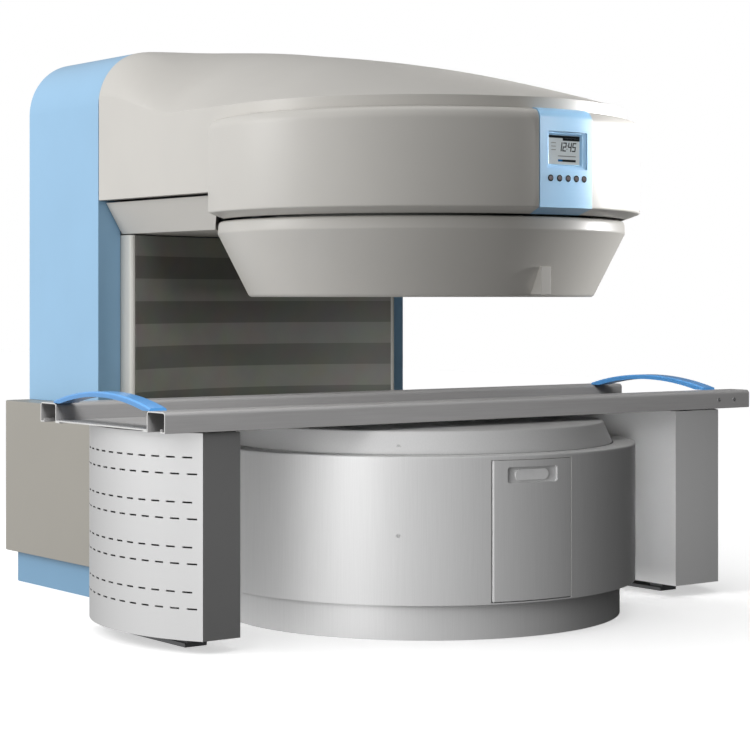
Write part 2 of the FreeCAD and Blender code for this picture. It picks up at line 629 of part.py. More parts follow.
def access_door():
    x, y = door_pivot()
    z0 = PLINTH_Z + DRUM_WALL + DOOR_GAP
    z1 = DRUM_TOP_Z - DRUM_EDGE_R - DOOR_GAP
    inner_r = DRUM_R - DOOR_THICKNESS
    trim = DOOR_GAP + DOOR_THICKNESS / 2
    leaf = door_sector(inner_r, DRUM_R, DOOR_GAP, z0, z1)
    angle = math.degrees(math.atan2(y, x))
    corner = turned(polygon([V(inner_r - 1, 0, z0 - 1), V(DRUM_R + 1, 0, z0 - 1),
                             V(DRUM_R + 1, 0, z1 + 1), V(inner_r - 1, 0, z1 + 1)]),
                    angle - math.degrees(trim / DRUM_R) - 1, math.degrees(trim / DRUM_R) + 1)
    leaf = leaf.cut(corner).fuse(up(DOOR_THICKNESS / 2, x, y, z0, z1))
    bore = DOOR_PIN_R + RUNNING_CLEARANCE
    leaf = leaf.cut(up(bore, x, y, 0, PLINTH_Z + 32)).cut(up(bore, x, y, DRUM_TOP_Z - 42, FAR))
    middle = math.radians((DOOR_ANGLE_FROM + DOOR_ANGLE_TO) / 2)
    grip_x = DRUM_R * math.cos(middle)
    deep_y = -DRUM_R * math.cos(math.radians(90) + middle) + GRIP_DEPTH
    pocket = rounded_pocket(grip_x, GRIP_WIDTH, GRIP_BOTTOM_Z, GRIP_TOP_Z, deep_y, 8)
    turn = math.degrees(middle) + 90
    pocket.rotate(V(grip_x, deep_y, 0), V(0, 0, 1), turn)
    centre_z = (GRIP_BOTTOM_Z + GRIP_TOP_Z) / 2
    cup = rounded_pocket(grip_x, CUP_WIDTH, centre_z - CUP_HEIGHT / 2, centre_z + CUP_HEIGHT / 2,
                         deep_y, CUP_HEIGHT / 2 - 0.1, CUP_RISE)
    cup.rotate(V(grip_x, deep_y, 0), V(0, 0, 1), turn)
    save("access_door", leaf.cut(pocket).removeSplitter())
    save("door_pull_insert", cup)


def rounded_pocket(x, width, z0, z1, floor_y, radius, height=60.0):
    """A block with rounded corners that stands forward of the plane floor_y."""
    shape = block(x - width / 2, x + width / 2, floor_y - height, floor_y, z0, z1)
    edges = [e for e in shape.Edges if e.BoundBox.YLength > height - 0.1]
    return shape.makeFillet(radius, edges)


# ---- control panel ----------------------------------------------------------
def panel_front_y(x):
    return -math.sqrt((BAND_R + CONTROL_PROUD) ** 2 - x ** 2)


def button_places():
    middle = (BUTTON_COUNT - 1) / 2
    return [(i - middle) * BUTTON_PITCH for i in range(BUTTON_COUNT)]


def control_panel():
    half = CONTROL_HALF_ANGLE
    panel = turned(band_face(CONTROL_PROUD, CONTROL_THICKNESS), -90 - half, 2 * half)
    floor_y = panel_front_y(0) + DISPLAY_SINK
    pocket = rounded_pocket(0, DISPLAY_WIDTH, DISPLAY_BOTTOM_Z, DISPLAY_TOP_Z, floor_y, 6)
    panel = panel.cut(pocket)
    ring_r = BUTTON_R + BUTTON_RING_WIDTH
    board_y = panel_front_y(0) + CONTROL_THICKNESS + 9
    rings = []
    for number, x in enumerate(button_places(), start=1):
        face_y = panel_front_y(x)
        start = V(x, face_y - 10, BUTTON_Z)
        panel = panel.cut(rod(BUTTON_R + BUTTON_CLEARANCE, start, V(0, 1, 0), 60))
        panel = panel.cut(rod(ring_r, start, V(0, 1, 0), 10 + 2))
        ring = rod(ring_r, V(x, face_y - 1, BUTTON_Z), V(0, 1, 0), 3)
        rings.append(ring.cut(rod(BUTTON_R + BUTTON_CLEARANCE, start, V(0, 1, 0), 60)))
        front = face_y - BUTTON_PROUD
        length = board_y - BUTTON_TRAVEL - 0.5 - front
        cap = rod(BUTTON_R, V(x, front, BUTTON_Z), V(0, 1, 0), length)
        rim = [e for e in cap.Edges if e.BoundBox.YMax < front + 0.1]
        save("button_%d" % number, cap.makeFillet(1.5, rim))
    save("control_panel", panel)
    save("button_rings", Part.makeCompound(rings))
    board = block(-75, 75, board_y, board_y + BOARD_THICKNESS, BUTTON_Z - 17, DISPLAY_TOP_Z)
    save("control_board", board.cut(up(ARM_HALF_WIDTH + 0.5, 0, 0, 0, FAR)))

    bezel_y = floor_y - BEZEL_THICKNESS
    outside = rounded_pocket(0, DISPLAY_WIDTH - 1, DISPLAY_BOTTOM_Z + 0.5, DISPLAY_TOP_Z - 0.5,
                             floor_y, 5.5, BEZEL_THICKNESS)
    x0 = SCREEN_SHIFT_X - SCREEN_WIDTH / 2
    x1 = SCREEN_SHIFT_X + SCREEN_WIDTH / 2
    z0 = SCREEN_CENTRE_Z - SCREEN_HEIGHT / 2
    z1 = SCREEN_CENTRE_Z + SCREEN_HEIGHT / 2
    bevel = BEZEL_THICKNESS - SCREEN_THICKNESS - 1
    inner = Part.makePolygon([V(x0, 0, z0), V(x1, 0, z0), V(x1, 0, z1), V(x0, 0, z1), V(x0, 0, z0)])
    wide = Part.makePolygon([V(x0 - bevel, 0, z0 - bevel), V(x1 + bevel, 0, z0 - bevel),
                             V(x1 + bevel, 0, z1 + bevel), V(x0 - bevel, 0, z1 + bevel),
                             V(x0 - bevel, 0, z0 - bevel)])
    inner.translate(V(0, bezel_y + bevel, 0))
    wide.translate(V(0, bezel_y, 0))
    slope = Part.makeLoft([wide, inner], True, True)
    window = block(x0, x1, bezel_y, floor_y, z0, z1)
    save("display_bezel", outside.cut(slope).cut(window))
    save("display_screen", block(x0, x1, floor_y - SCREEN_THICKNESS, floor_y, z0, z1))


def positioning_light():
    body = block(-LIGHT_WIDTH / 2, LIGHT_WIDTH / 2, LIGHT_FRONT_Y, -POLE_FACE_R + 20,
                 LIGHT_BOTTOM_Z, LIGHT_TOP_Z)
    cone = Part.makeCone(POLE_FACE_R + 3, SHOULDER_R, SHOULDER_Z - GAP_TOP_Z - 6, V(0, 0, GAP_TOP_Z + 6))
    body = body.cut(cone)
    wall = COVER
    y0 = LIGHT_FRONT_Y + wall
    mouth = block(-LIGHT_WIDTH / 2 + wall, LIGHT_WIDTH / 2 - wall, y0, y0 + 24,
                  LIGHT_BOTTOM_Z - 1, LIGHT_BOTTOM_Z + 30)
    lens_z = LIGHT_BOTTOM_Z + 26
    lens = mouth.common(block(-FAR, FAR, -FAR, FAR, lens_z, lens_z + 4)).cut(cone)
    save("positioning_light_housing", body.cut(mouth))
    save("positioning_light_lens", lens)


# ---- patient table ----------------------------------------------------------
TABLE_BOTTOM_Z = TABLE_TOP_Z - RAIL_HEIGHT
TABLE_LEFT_X = TABLE_CENTRE_X - TABLE_LENGTH / 2
RAIL_OUTER_Y = TABLE_WIDTH / 2
RAIL_INNER_Y = RAIL_OUTER_Y - RAIL_WIDTH
GUIDE_Y = RAIL_OUTER_Y - RAIL_WALL - RAIL_LIP - ROLLER_WIDTH - GUIDE_THICKNESS / 2 + 6
ROLLER_Z = TABLE_TOP_Z - RAIL_WALL - ROLLER_R - TABLE_CLEARANCE


def side_rail(side):
    """Aluminium rail, open at the bottom, with a small upturned lip inside its outer wall."""
    def span(y0, y1, z0, z1):
        a, b = sorted((side * y0, side * y1))
        return block(TABLE_LEFT_X, TABLE_LEFT_X + TABLE_LENGTH, a, b, z0, z1)

    wall = RAIL_WALL
    bottom = TABLE_BOTTOM_Z
    outer = span(RAIL_INNER_Y, RAIL_OUTER_Y, bottom, TABLE_TOP_Z)
    corner = [e for e in outer.Edges
              if e.BoundBox.XLength > TABLE_LENGTH - 1 and e.BoundBox.ZMin > TABLE_TOP_Z - 1]
    outer = outer.makeFillet(RAIL_EDGE_R, corner)
    inner = span(RAIL_INNER_Y + wall, RAIL_OUTER_Y - wall, bottom - 1, TABLE_TOP_Z - wall)
    corner = [e for e in inner.Edges
              if e.BoundBox.XLength > TABLE_LENGTH - 1 and e.BoundBox.ZMin > TABLE_TOP_Z - wall - 1]
    rail = outer.cut(inner.makeFillet(RAIL_EDGE_R - wall, corner))
    lip = RAIL_OUTER_Y - wall - RAIL_LIP
    rail = rail.fuse(span(lip, RAIL_OUTER_Y - wall / 2, bottom, bottom + wall))
    rail = rail.fuse(span(lip, lip + wall - 1, bottom, bottom + wall + RAIL_LIP_RISE))
    shelf = span(RAIL_INNER_Y - TRAY_FLANGE, RAIL_INNER_Y + wall / 2, bottom, bottom + wall)
    return rail.fuse(shelf).removeSplitter()


def tray():
    """Flat floor between the rails, with fine ribs along its length."""
    half = RAIL_INNER_Y - 0.5
    low = TABLE_BOTTOM_Z + RAIL_WALL
    high = low + TRAY_THICKNESS
    count = int(2 * half / RIB_PITCH)
    pitch = 2 * half / count
    start = TABLE_LEFT_X
    points = [V(start, -half, low), V(start, half, low)]
    for i in range(count):
        y = half - i * pitch
        points += [V(start, y, high - RIB_HEIGHT), V(start, y - pitch / 2, high)]
    points.append(V(start, -half, high - RIB_HEIGHT))
    return polygon(points).extrude(V(TABLE_LENGTH, 0, 0))


def handle(x0):
    """Arched strap across the table, with a foot on each rail."""
    half = HANDLE_SPAN / 2
    foot = half - HANDLE_FOOT
    z = TABLE_TOP_Z
    tip = z + HANDLE_TIP
    edges = [arc(V(x0, -half, tip), V(x0, 0, z + HANDLE_RISE), V(x0, half, tip)),
             line(V(x0, half, tip), V(x0, half, z)),
             line(V(x0, half, z), V(x0, foot, z)),
             arc(V(x0, foot, z), V(x0, 0, z + HANDLE_RISE - HANDLE_THICKNESS), V(x0, -foot, z)),
             line(V(x0, -foot, z), V(x0, -half, z)),
             line(V(x0, -half, z), V(x0, -half, tip))]
    strap = face_of(edges).extrude(V(HANDLE_STRAP, 0, 0))
    outer = [e for e in strap.Edges if e.BoundBox.ZMax > tip + 1 and e.BoundBox.YLength > 2 * foot + 1]
    return strap.makeFillet(HANDLE_TIP * 0.75, outer)


def table():
    save("front_side_rail", side_rail(-1))
    save("rear_side_rail", side_rail(1))
    save("tabletop_tray", tray())
    right = TABLE_LEFT_X + TABLE_LENGTH - RIGHT_HANDLE_INSET - HANDLE_STRAP
    save("left_handle", handle(TABLE_LEFT_X))
    save("right_handle", handle(right))
    screws = []
    z = TABLE_TOP_Z - RAIL_HEIGHT / 2
    for end in (-1, 1):
        x = right + (HANDLE_STRAP + end * SCREW_PITCH) / 2
        for side in (-1, 1):
            start = V(x, side * RAIL_OUTER_Y, z)
            screws.append(rod(SCREW_R, start, V(0, side, 0), SCREW_HEAD))
    save("handle_screws", Part.makeCompound(screws))

    # fixed rails on the pedestals, with the rollers that carry the tabletop
    half = GUIDE_LENGTH / 2
    low = TABLE_BOTTOM_Z + GUIDE_CLEARANCE
    high = TABLE_TOP_Z - RAIL_WALL - GUIDE_CLEARANCE
    axles = []
    gap = 2.0
    for side, word in ((-1, "front"), (1, "rear")):
        y0 = side * GUIDE_Y - GUIDE_THICKNESS / 2
        guide = block(-half, half, y0, y0 + GUIDE_THICKNESS, low, high)
        for end in (-1, 1):
            middle = pedestal_middle(end)
            guide = guide.fuse(block(middle - GUIDE_FOOT_HALF, middle + GUIDE_FOOT_HALF, y0, y0 + GUIDE_THICKNESS,
                                     PEDESTAL_TOP_Z - PEDESTAL_WALL, low))
        face_y = side * (GUIDE_Y + GUIDE_THICKNESS / 2)
        for end, way in ((-1, "left"), (1, "right")):
            x = end * ROLLER_X
            inner_y = side * (GUIDE_Y - GUIDE_THICKNESS / 2)
            hole = rod(AXLE_R, V(x, inner_y, ROLLER_Z), V(0, side, 0), GUIDE_THICKNESS)
            guide = guide.cut(hole)
            reach = GUIDE_THICKNESS + ROLLER_WIDTH + 2 * gap
            axles.append(rod(AXLE_R, V(x, inner_y, ROLLER_Z), V(0, side, 0), reach))
            start = V(x, face_y + side * gap, ROLLER_Z)
            roller = rod(ROLLER_R, start, V(0, side, 0), ROLLER_WIDTH)
            roller = roller.cut(rod(AXLE_R + RUNNING_CLEARANCE, start, V(0, side, 0), ROLLER_WIDTH))
            save("%s_%s_roller" % (word, way), roller)
        save(word + "_guide_rail", guide.removeSplitter())
    save("roller_axles", Part.makeCompound(axles))


# ---- pedestals --------------------------------------------------------------
def pedestal_inner(side):
    return LEFT_PEDESTAL_INNER_X if side < 0 else RIGHT_PEDESTAL_INNER_X


def pedestal_middle(side):
    return side * (pedestal_inner(side) + PEDESTAL_CORNER_X) / 2


def pedestal_plan(side, inset, z0, z1):
    inner = side * (pedestal_inner(side) + inset)
    corner = side * (PEDESTAL_CORNER_X - inset)
    bulge = side * (PEDESTAL_CORNER_X + PEDESTAL_BULGE - inset)
    half = PEDESTAL_HALF_DEPTH - inset
    edges = [line(V(corner, -half, z0), V(inner, -half, z0)),
             line(V(inner, -half, z0), V(inner, half, z0)),
             line(V(inner, half, z0), V(corner, half, z0)),
             arc(V(corner, half, z0), V(bulge, 0, z0), V(corner, -half, z0))]
    return face_of(edges).extrude(V(0, 0, z1 - z0))


def ventilation_slots(side):
    """Rows of slots in pairs; the lower row of a pair is shifted along the upper one."""
    cutters = []
    for pair in range(SLOT_ROW_PAIRS):
        for row in (0, 1):
            z = SLOT_FIRST_Z + pair * SLOT_PAIR_PITCH + row * SLOT_ROW_GAP
            for i in range(SLOTS_PER_ROW):
                y = (i - (SLOTS_PER_ROW - 1) / 2) * SLOT_PITCH + (row - 0.5) * SLOT_STAGGER
                x0, x1 = sorted((side * (PEDESTAL_CORNER_X - 30), side * (PEDESTAL_CORNER_X + 120)))
                cutters.append(block(x0, x1, y - SLOT_LENGTH / 2, y + SLOT_LENGTH / 2,
                                     z - SLOT_HEIGHT / 2, z + SLOT_HEIGHT / 2))
    return cutters


def pedestals():
    foot_half = GUIDE_THICKNESS / 2 + 1
    slot_half = GUIDE_FOOT_HALF + 1
    for side, word in ((-1, "left"), (1, "right")):
        shell = pedestal_plan(side, 0, PEDESTAL_BOTTOM_Z, PEDESTAL_TOP_Z)
        shell = shell.cut(pedestal_plan(side, PEDESTAL_WALL, -1, PEDESTAL_TOP_Z - PEDESTAL_WALL))
        x = pedestal_middle(side)
        for end in (-1, 1):
            y = end * GUIDE_Y
            shell = shell.cut(block(x - slot_half, x + slot_half, y - foot_half, y + foot_half,
                                    PEDESTAL_TOP_Z - 2 * PEDESTAL_WALL, FAR))
        shell = shell.cut(Part.makeCompound(ventilation_slots(side)))
        save(word + "_pedestal_cover", shell)

        # steel frame: floor plate, two posts, top plate
        half = (PEDESTAL_CORNER_X - pedestal_inner(side)) / 2 - PEDESTAL_WALL - 2
        top = PEDESTAL_TOP_Z - PEDESTAL_WALL
        reach = PEDESTAL_HALF_DEPTH - 10
        sole = POST / 2 + 8
        frame = block(x - sole, x + sole, -reach + FRAME_SETBACK, reach - FRAME_SETBACK, 0,
                      FRAME_PLATE)
        frame = frame.fuse(block(x - half, x + half, -reach, reach, top - FRAME_TOP, top))
        for end in (-1, 1):
            y = end * (reach - FRAME_SETBACK - POST / 2)
            frame = frame.fuse(block(x - POST / 2, x + POST / 2, y - POST / 2, y + POST / 2,
                                     FRAME_PLATE, top - FRAME_TOP))
        save(word + "_pedestal_frame", frame.removeSplitter())


def main():
    os.makedirs("parts", exist_ok=True)
    magnet()
    pole("lower", LOWER_YOKE_TOP, 1)
    pole("upper", UPPER_YOKE_Z, -1)
    upper_covers()
    column_covers()
    lower_covers()
    access_door()
    control_panel()
    positioning_light()
    table()
    pedestals()


main()
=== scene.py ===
"""Looks of an open magnet scanner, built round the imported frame.

The file is laid out as an add-on. Run as a script, it makes every piece in order.
"""

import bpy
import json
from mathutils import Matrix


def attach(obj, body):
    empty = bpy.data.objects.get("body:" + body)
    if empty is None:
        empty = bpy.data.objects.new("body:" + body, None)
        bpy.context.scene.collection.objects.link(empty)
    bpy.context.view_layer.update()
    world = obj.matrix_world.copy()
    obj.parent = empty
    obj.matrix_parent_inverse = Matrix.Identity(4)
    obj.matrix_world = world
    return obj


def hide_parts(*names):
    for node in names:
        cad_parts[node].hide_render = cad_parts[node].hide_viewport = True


bl_info = {
    "name": "Open Magnet Scanner",
    "version": (1, 0, 0),
    "blender": (4, 5, 0),
    "location": "3D View > Sidebar > Scanner",
    "description": "Covers, table, controls and finishes of an open magnet scanner",
    "category": "Add Mesh",
}

import json
import math

import bmesh
import bpy
from mathutils import Vector

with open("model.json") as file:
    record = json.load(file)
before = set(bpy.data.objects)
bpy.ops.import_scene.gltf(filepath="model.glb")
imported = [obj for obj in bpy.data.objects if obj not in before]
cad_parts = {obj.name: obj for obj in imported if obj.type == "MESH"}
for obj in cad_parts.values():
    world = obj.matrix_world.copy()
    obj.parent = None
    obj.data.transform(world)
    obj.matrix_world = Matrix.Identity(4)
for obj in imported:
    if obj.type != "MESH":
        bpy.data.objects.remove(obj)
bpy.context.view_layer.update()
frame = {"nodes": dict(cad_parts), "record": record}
MM = 0.001

BODY_OF = {node: body for body, nodes in frame["record"]["behaviour"]["bodies"].items()
           for node in nodes}


# ---- settings a user may change ---------------------------------------------
def colour_setting(label, default):
    return bpy.props.StringProperty(name=label, description="sRGB hex value of " + label.lower(),
                                    default=default)


def length_setting(label, description, default):
    return bpy.props.FloatProperty(name=label, description=description, default=default,
                                   unit="LENGTH", min=0.0, precision=4)


class ScannerColours(bpy.types.PropertyGroup):
    """Colours of the finishes."""

    cover_grey: colour_setting("Warm grey covers", "#D6D3CD")
    cover_blue: colour_setting("Blue covers", "#9CC9EC")
    # painted shade: the low plinth under the housing gets a darker blue than the covers
    plinth_blue: colour_setting("Blue plinth", "#7FADD0")
    cover_beige: colour_setting("Beige housing", "#A8A49B")
    # painted highlight: the uprights' rounded edges get a lighter grey than the bands
    upright_highlight_grey: colour_setting("Uprights of the column panel", "#D8D7D1")
    band_light: colour_setting("Light bands of the column panel", "#8C8C85")
    band_dark: colour_setting("Dark bands of the column panel", "#6E6E68")
    drum_silver: colour_setting("Silver drum", "#DEDEDE")
    sheet_metal: colour_setting("Pedestal sheet", "#E2E2E2")
    rail_metal: colour_setting("Table rails", "#9A9999")
    handle_blue: colour_setting("Table handles", "#4E8FCB")
    cut_metal: colour_setting("Sawn ends of the rails", "#D9D9D7")
    screen_ink: colour_setting("Display figures", "#2B3338")
    screen_ground: colour_setting("Display ground", "#C9D0D2")
    screen_bar: colour_setting("Display level bar", "#2A6CA5")
    button_cap: colour_setting("Button caps", "#C9B9BB")
    dark_plastic: colour_setting("Dark plastic", "#1E1F22")
    white_plastic: colour_setting("Door pull and plugs", "#F2F2F2")
    seal: colour_setting("Door seal", "#E8E8E6")
    pale_ink: colour_setting("Pale marks on the display", "#A9ABA8")
    frame_enamel: colour_setting("Pedestal frames", "#77787A")
    nylon: colour_setting("Rollers", "#E4E2DA")
    zinc: colour_setting("Zinc plating", "#B9BABC")
    primer: colour_setting("Primer on the yoke", "#5B6068")
    nickel: colour_setting("Magnet plating", "#A9A9A6")
    resin: colour_setting("Coil resin", "#8C6B3A")
    circuit_lacquer: colour_setting("Circuit board", "#1C5B34")
    floor: colour_setting("Studio floor", "#FFFFFF")


class ScannerSizes(bpy.types.PropertyGroup):
    """Sizes of what is added to the frame."""

    edge: length_setting("Cover edge", "Rounding of the edges of moulded covers", 2.6 * MM)
    fine_edge: length_setting("Fine edge", "Rounding of sheet metal and small parts", 0.9 * MM)
    band_height: length_setting("Band height", "Height of one level band", 80.0 * MM)
    band_start: length_setting("First band", "Height at which a light band starts", 1177.0 * MM)
    screw_radius: length_setting("Screw radius", "Radius of a screw head", 5.5 * MM)
    screw_height: length_setting("Screw height", "Height of a screw head", 1.6 * MM)


def colours():
    return bpy.context.scene.scanner_colours


def sizes():
    return bpy.context.scene.scanner_sizes


# ---- material helpers -------------------------------------------------------
def linear(hex_value):
    """An sRGB hex value as linear RGBA."""
    text = hex_value.lstrip("#")
    parts = [int(text[i:i + 2], 16) / 255 for i in (0, 2, 4)]
    out = [p / 12.92 if p <= 0.04045 else ((p + 0.055) / 1.055) ** 2.4 for p in parts]
    return (*out, 1.0)


def add(tree, kind, settings=None, links=None):
    """Adds a node, sets its properties or input values, and links its inputs."""
    node = tree.nodes.new(kind)
    for key, value in (settings or {}).items():
        if isinstance(key, str) and hasattr(node, key) and key not in node.inputs:
            setattr(node, key, value)
        else:
            node.inputs[key].default_value = value
    for key, (source, output) in (links or {}).items():
        tree.links.new(source.outputs[output], node.inputs[key])
    return node


def new_material(name):
    """A material with a Principled shader and Object coordinates in metres."""
    material = bpy.data.materials.new(name)
    material.use_nodes = True
    tree = material.node_tree
    shader = tree.nodes["Principled BSDF"]
    place = add(tree, "ShaderNodeTexCoord")
    return material, tree, shader, place


def plug(tree, source, output, shader, socket):
    tree.links.new(source.outputs[output], shader.inputs[socket])


def two_tones(tree, noise, colour, spread, low, high):
    """Runs from a darker to a lighter tone of the colour as the noise goes from low to high."""
    base = linear(colour)[:3]
    ramp = add(tree, "ShaderNodeValToRGB", None, {"Fac": (noise, "Fac")})
    for element, position, factor in zip(ramp.color_ramp.elements, (low, high),
                                         (1 - spread, 1 + spread)):
        element.position = position
        element.color = (*(min(c * factor, 1.0) for c in base), 1.0)
    return ramp


def mottled(tree, place, shader, colour, spread, size):
    """The colour, a little lighter and darker in soft patches of the given size in metres."""
    noise = add(tree, "ShaderNodeTexNoise", {"Scale": 1 / size, "Detail": 3.0, "Roughness": 0.55},
                {"Vector": (place, "Object")})
    plug(tree, two_tones(tree, noise, colour, spread, 0.3, 0.7), "Color", shader, "Base Color")


def bumped(tree, place, shader, size, depth, strength):
    """Fine relief: a noise of the given grain size and depth, both in metres."""
    noise = add(tree, "ShaderNodeTexNoise", {"Scale": 1 / size, "Detail": 4.0},
                {"Vector": (place, "Object")})
    bump = add(tree, "ShaderNodeBump", {"Strength": strength, "Distance": depth},
               {"Height": (noise, "Fac")})
    plug(tree, bump, "Normal", shader, "Normal")


def set_inputs(shader, values):
    for key, value in values.items():
        shader.inputs[key].default_value = value


def painted_fibreglass(name, colour, roughness):
    """Sprayed two-pack paint on moulded fibreglass: even, satin, faint orange peel."""
    material, tree, shader, place = new_material(name)
    mottled(tree, place, shader, colour, 0.02, 0.35)
    set_inputs(shader, {"Roughness": roughness, "IOR": 1.5, "Coat Weight": 0.12,
                        "Coat Roughness": 0.25})
    # orange peel is about 2 mm across; drawn at 6 mm so that it shows
    bumped(tree, place, shader, 6 * MM, 0.2 * MM, 0.25)
    return material


def banded_paint(name, light_band, roughness):
    """Column panel: satin paint in level light and dark bands, a little uneven."""
    material, tree, shader, place = new_material(name)
    height = sizes().band_height
    # counted from below the floor, so that every height is above the first band
    first = sizes().band_start - 40 * height
    split = add(tree, "ShaderNodeSeparateXYZ", None, {"Vector": (place, "Object")})
    shift = add(tree, "ShaderNodeMath", {"operation": "SUBTRACT", 1: first}, {0: (split, "Z")})
    turn = add(tree, "ShaderNodeMath", {"operation": "DIVIDE", 1: 2 * height}, {0: (shift, 0)})
    part = add(tree, "ShaderNodeMath", {"operation": "FRACT"}, {0: (turn, 0)})
    bands = add(tree, "ShaderNodeValToRGB", None, {"Fac": (part, 0)})
    bands.color_ramp.interpolation = "CONSTANT"
    for element, start, colour in zip(bands.color_ramp.elements, (0.0, 0.5),
                                      (light_band, colours().band_dark)):
        element.position = start
        element.color = linear(colour)
    grain = add(tree, "ShaderNodeTexNoise", {"Scale": 9.0, "Detail": 5.0},
                {"Vector": (place, "Object")})
    tint = add(tree, "ShaderNodeMix",
               {"data_type": "RGBA", "blend_type": "SOFT_LIGHT", "Factor": 0.25},
               {6: (bands, "Color"), 7: (grain, "Color")})
    plug(tree, tint, 2, shader, "Base Color")
    set_inputs(shader, {"Roughness": roughness})
    bumped(tree, place, shader, 4 * MM, 0.1 * MM, 0.2)
    return material


def brushed_metal(name, colour, roughness, grain, metallic, spread=0.05):
    """Sheet metal drawn under a belt: fine streaks along one direction."""
    material, tree, shader, place = new_material(name)
    mapping = add(tree, "ShaderNodeMapping", {"Scale": grain}, {"Vector": (place, "Object")})
    # belt grain is about 0.2 mm wide; drawn at 3 mm so that it shows
    noise = add(tree, "ShaderNodeTexNoise", {"Scale": 1 / (3 * MM), "Detail": 3.0},
                {"Vector": (mapping, "Vector")})
    plug(tree, two_tones(tree, noise, colour, spread, 0.25, 0.75), "Color", shader, "Base Color")
    rough = add(tree, "ShaderNodeMapRange",
                {"To Min": roughness - 0.06, "To Max": roughness + 0.06}, {"Value": (noise, "Fac")})
    plug(tree, rough, "Result", shader, "Roughness")
    set_inputs(shader, {"Metallic": metallic})
    bump = add(tree, "ShaderNodeBump", {"Strength": 0.15, "Distance": 0.1 * MM},
               {"Height": (noise, "Fac")})
    plug(tree, bump, "Normal", shader, "Normal")
    return material


def moulded_plastic(name, colour, roughness, coat=0.0):
    """Injection-moulded plastic: a fine spark-eroded grain."""
    material, tree, shader, place = new_material(name)
    mottled(tree, place, shader, colour, 0.03, 0.02)
    set_inputs(shader, {"Roughness": roughness, "IOR": 1.5, "Coat Weight": coat})
    bumped(tree, place, shader, 1.5 * MM, 0.05 * MM, 0.3)
    return material


def lit_display(name, colour, glow):
    """Backlit liquid crystal behind a clear window."""
    material, tree, shader, place = new_material(name)
    mottled(tree, place, shader, colour, 0.04, 0.05)
    set_inputs(shader, {"Emission Color": linear(colour), "Emission Strength": glow,
                        "Roughness": 0.2, "Coat Weight": 0.5})
    return material


ALONG_X, ALONG_Z, EVEN = (0.02, 1, 1), (1, 1, 0.02), (1, 1, 1)
# name: (maker, colour setting, the maker's other values)
FINISHES = {
    "fibreglass_warm_grey": (painted_fibreglass, "cover_grey", (0.42,)),
    "fibreglass_blue": (painted_fibreglass, "cover_blue", (0.38,)),
    "fibreglass_beige": (painted_fibreglass, "cover_beige", (0.45,)),
    # painted shade: a darker blue than the covers, for the low plinth under the housing
    "fibreglass_blue_painted_shade": (painted_fibreglass, "plinth_blue", (0.4,)),
    # painted highlight on the rounded uprights of the column panel
    "upright_highlight_paint": (painted_fibreglass, "upright_highlight_grey", (0.4,)),
    "banded_panel_paint": (banded_paint, "band_light", (0.5,)),
    # silver lacquer rolled on upright panels: faint upright streaks
    "silver_lacquer": (brushed_metal, "drum_silver", (0.45, ALONG_Z, 0.12, 0.03)),
    "brushed_sheet": (brushed_metal, "sheet_metal", (0.36, (1, 1, 0.015), 0.2, 0.06)),
    "anodised_aluminium": (brushed_metal, "rail_metal", (0.42, ALONG_X, 0.3)),
    "sawn_aluminium": (brushed_metal, "cut_metal", (0.35, (1, 0.02, 1), 0.2)),
    "zinc_plated_steel": (brushed_metal, "zinc", (0.35, EVEN, 0.9)),
    "nickel_plate": (brushed_metal, "nickel", (0.3, EVEN, 0.9)),
    "handle_lacquer": (moulded_plastic, "handle_blue", (0.3, 0.4)),
    "dark_abs": (moulded_plastic, "dark_plastic", (0.4,)),
    "white_abs": (moulded_plastic, "white_plastic", (0.35,)),
    "button_abs": (moulded_plastic, "button_cap", (0.3, 0.3)),
    "seal_rubber": (moulded_plastic, "seal", (0.6,)),
    "frame_enamel": (moulded_plastic, "frame_enamel", (0.5,)),
    "nylon": (moulded_plastic, "nylon", (0.5,)),
    "primed_steel": (moulded_plastic, "primer", (0.55,)),
    "cast_resin": (moulded_plastic, "resin", (0.4,)),
    "circuit_lacquer": (moulded_plastic, "circuit_lacquer", (0.4,)),
    "display_ink": (moulded_plastic, "screen_ink", (0.4,)),
    "display_pale": (moulded_plastic, "pale_ink", (0.4,)),
    "display_ground": (lit_display, "screen_ground", (0.45,)),
    "display_bar": (lit_display, "screen_bar", (0.3,)),
}


def finish(name):
    """The named material, made once."""
    maker, colour, values = FINISHES[name]
    return bpy.data.materials.get(name) or maker(name, getattr(colours(), colour), *values)


# ---- mesh helpers -----------------------------------------------------------
ROUNDED_FROM = 32.0     # edges this sharp are rounded; angles in degrees
SMOOTH_UP_TO = 40.0     # edges up to this angle are shaded smooth
SCREW_SMOOTH = 35.0     # the same for screw heads, the door's seal and bent sheet
SEAL_SMOOTH = 30.0
SHEET_SMOOTH = 20.0
CORNER_STEPS = 4        # steps in a rounded corner of an outline
LATHE_STEP = 1.5        # degrees from one outline to the next


def draft(name, mesh):
    """An object linked only while its modifiers are worked out."""
    thing = bpy.data.objects.new(name + "_draft", mesh)
    bpy.context.scene.collection.objects.link(thing)
    return thing


def new_piece(name, mesh, node=None, body=None, look=None):
    """Links a finished mesh and says what it rides on and stands for; look names its finish."""
    piece = bpy.data.objects.new(name, mesh)
    bpy.context.scene.collection.objects.link(piece)
    if look is not None:
        mesh.materials.clear()
        mesh.materials.append(finish(look))
    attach(piece, body or BODY_OF[node])
    if node is not None:
        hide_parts(node)
    return piece


def merged_copy(node):
    """The CAD node's mesh with its loose triangles joined."""
    mesh = frame["nodes"][node].data.copy()
    work = bmesh.new()
    work.from_mesh(mesh)
    bmesh.ops.remove_doubles(work, verts=work.verts, dist=0.02 * MM)
    bmesh.ops.dissolve_limit(work, angle_limit=math.radians(0.4), verts=work.verts,
                             edges=work.edges)
    work.to_mesh(mesh)
    work.free()
    return mesh


def evaluated_mesh(thing):
    """The object's mesh with its modifiers applied."""
    bpy.context.view_layer.update()
    graph = bpy.context.evaluated_depsgraph_get()
    return bpy.data.meshes.new_from_object(thing.evaluated_get(graph))


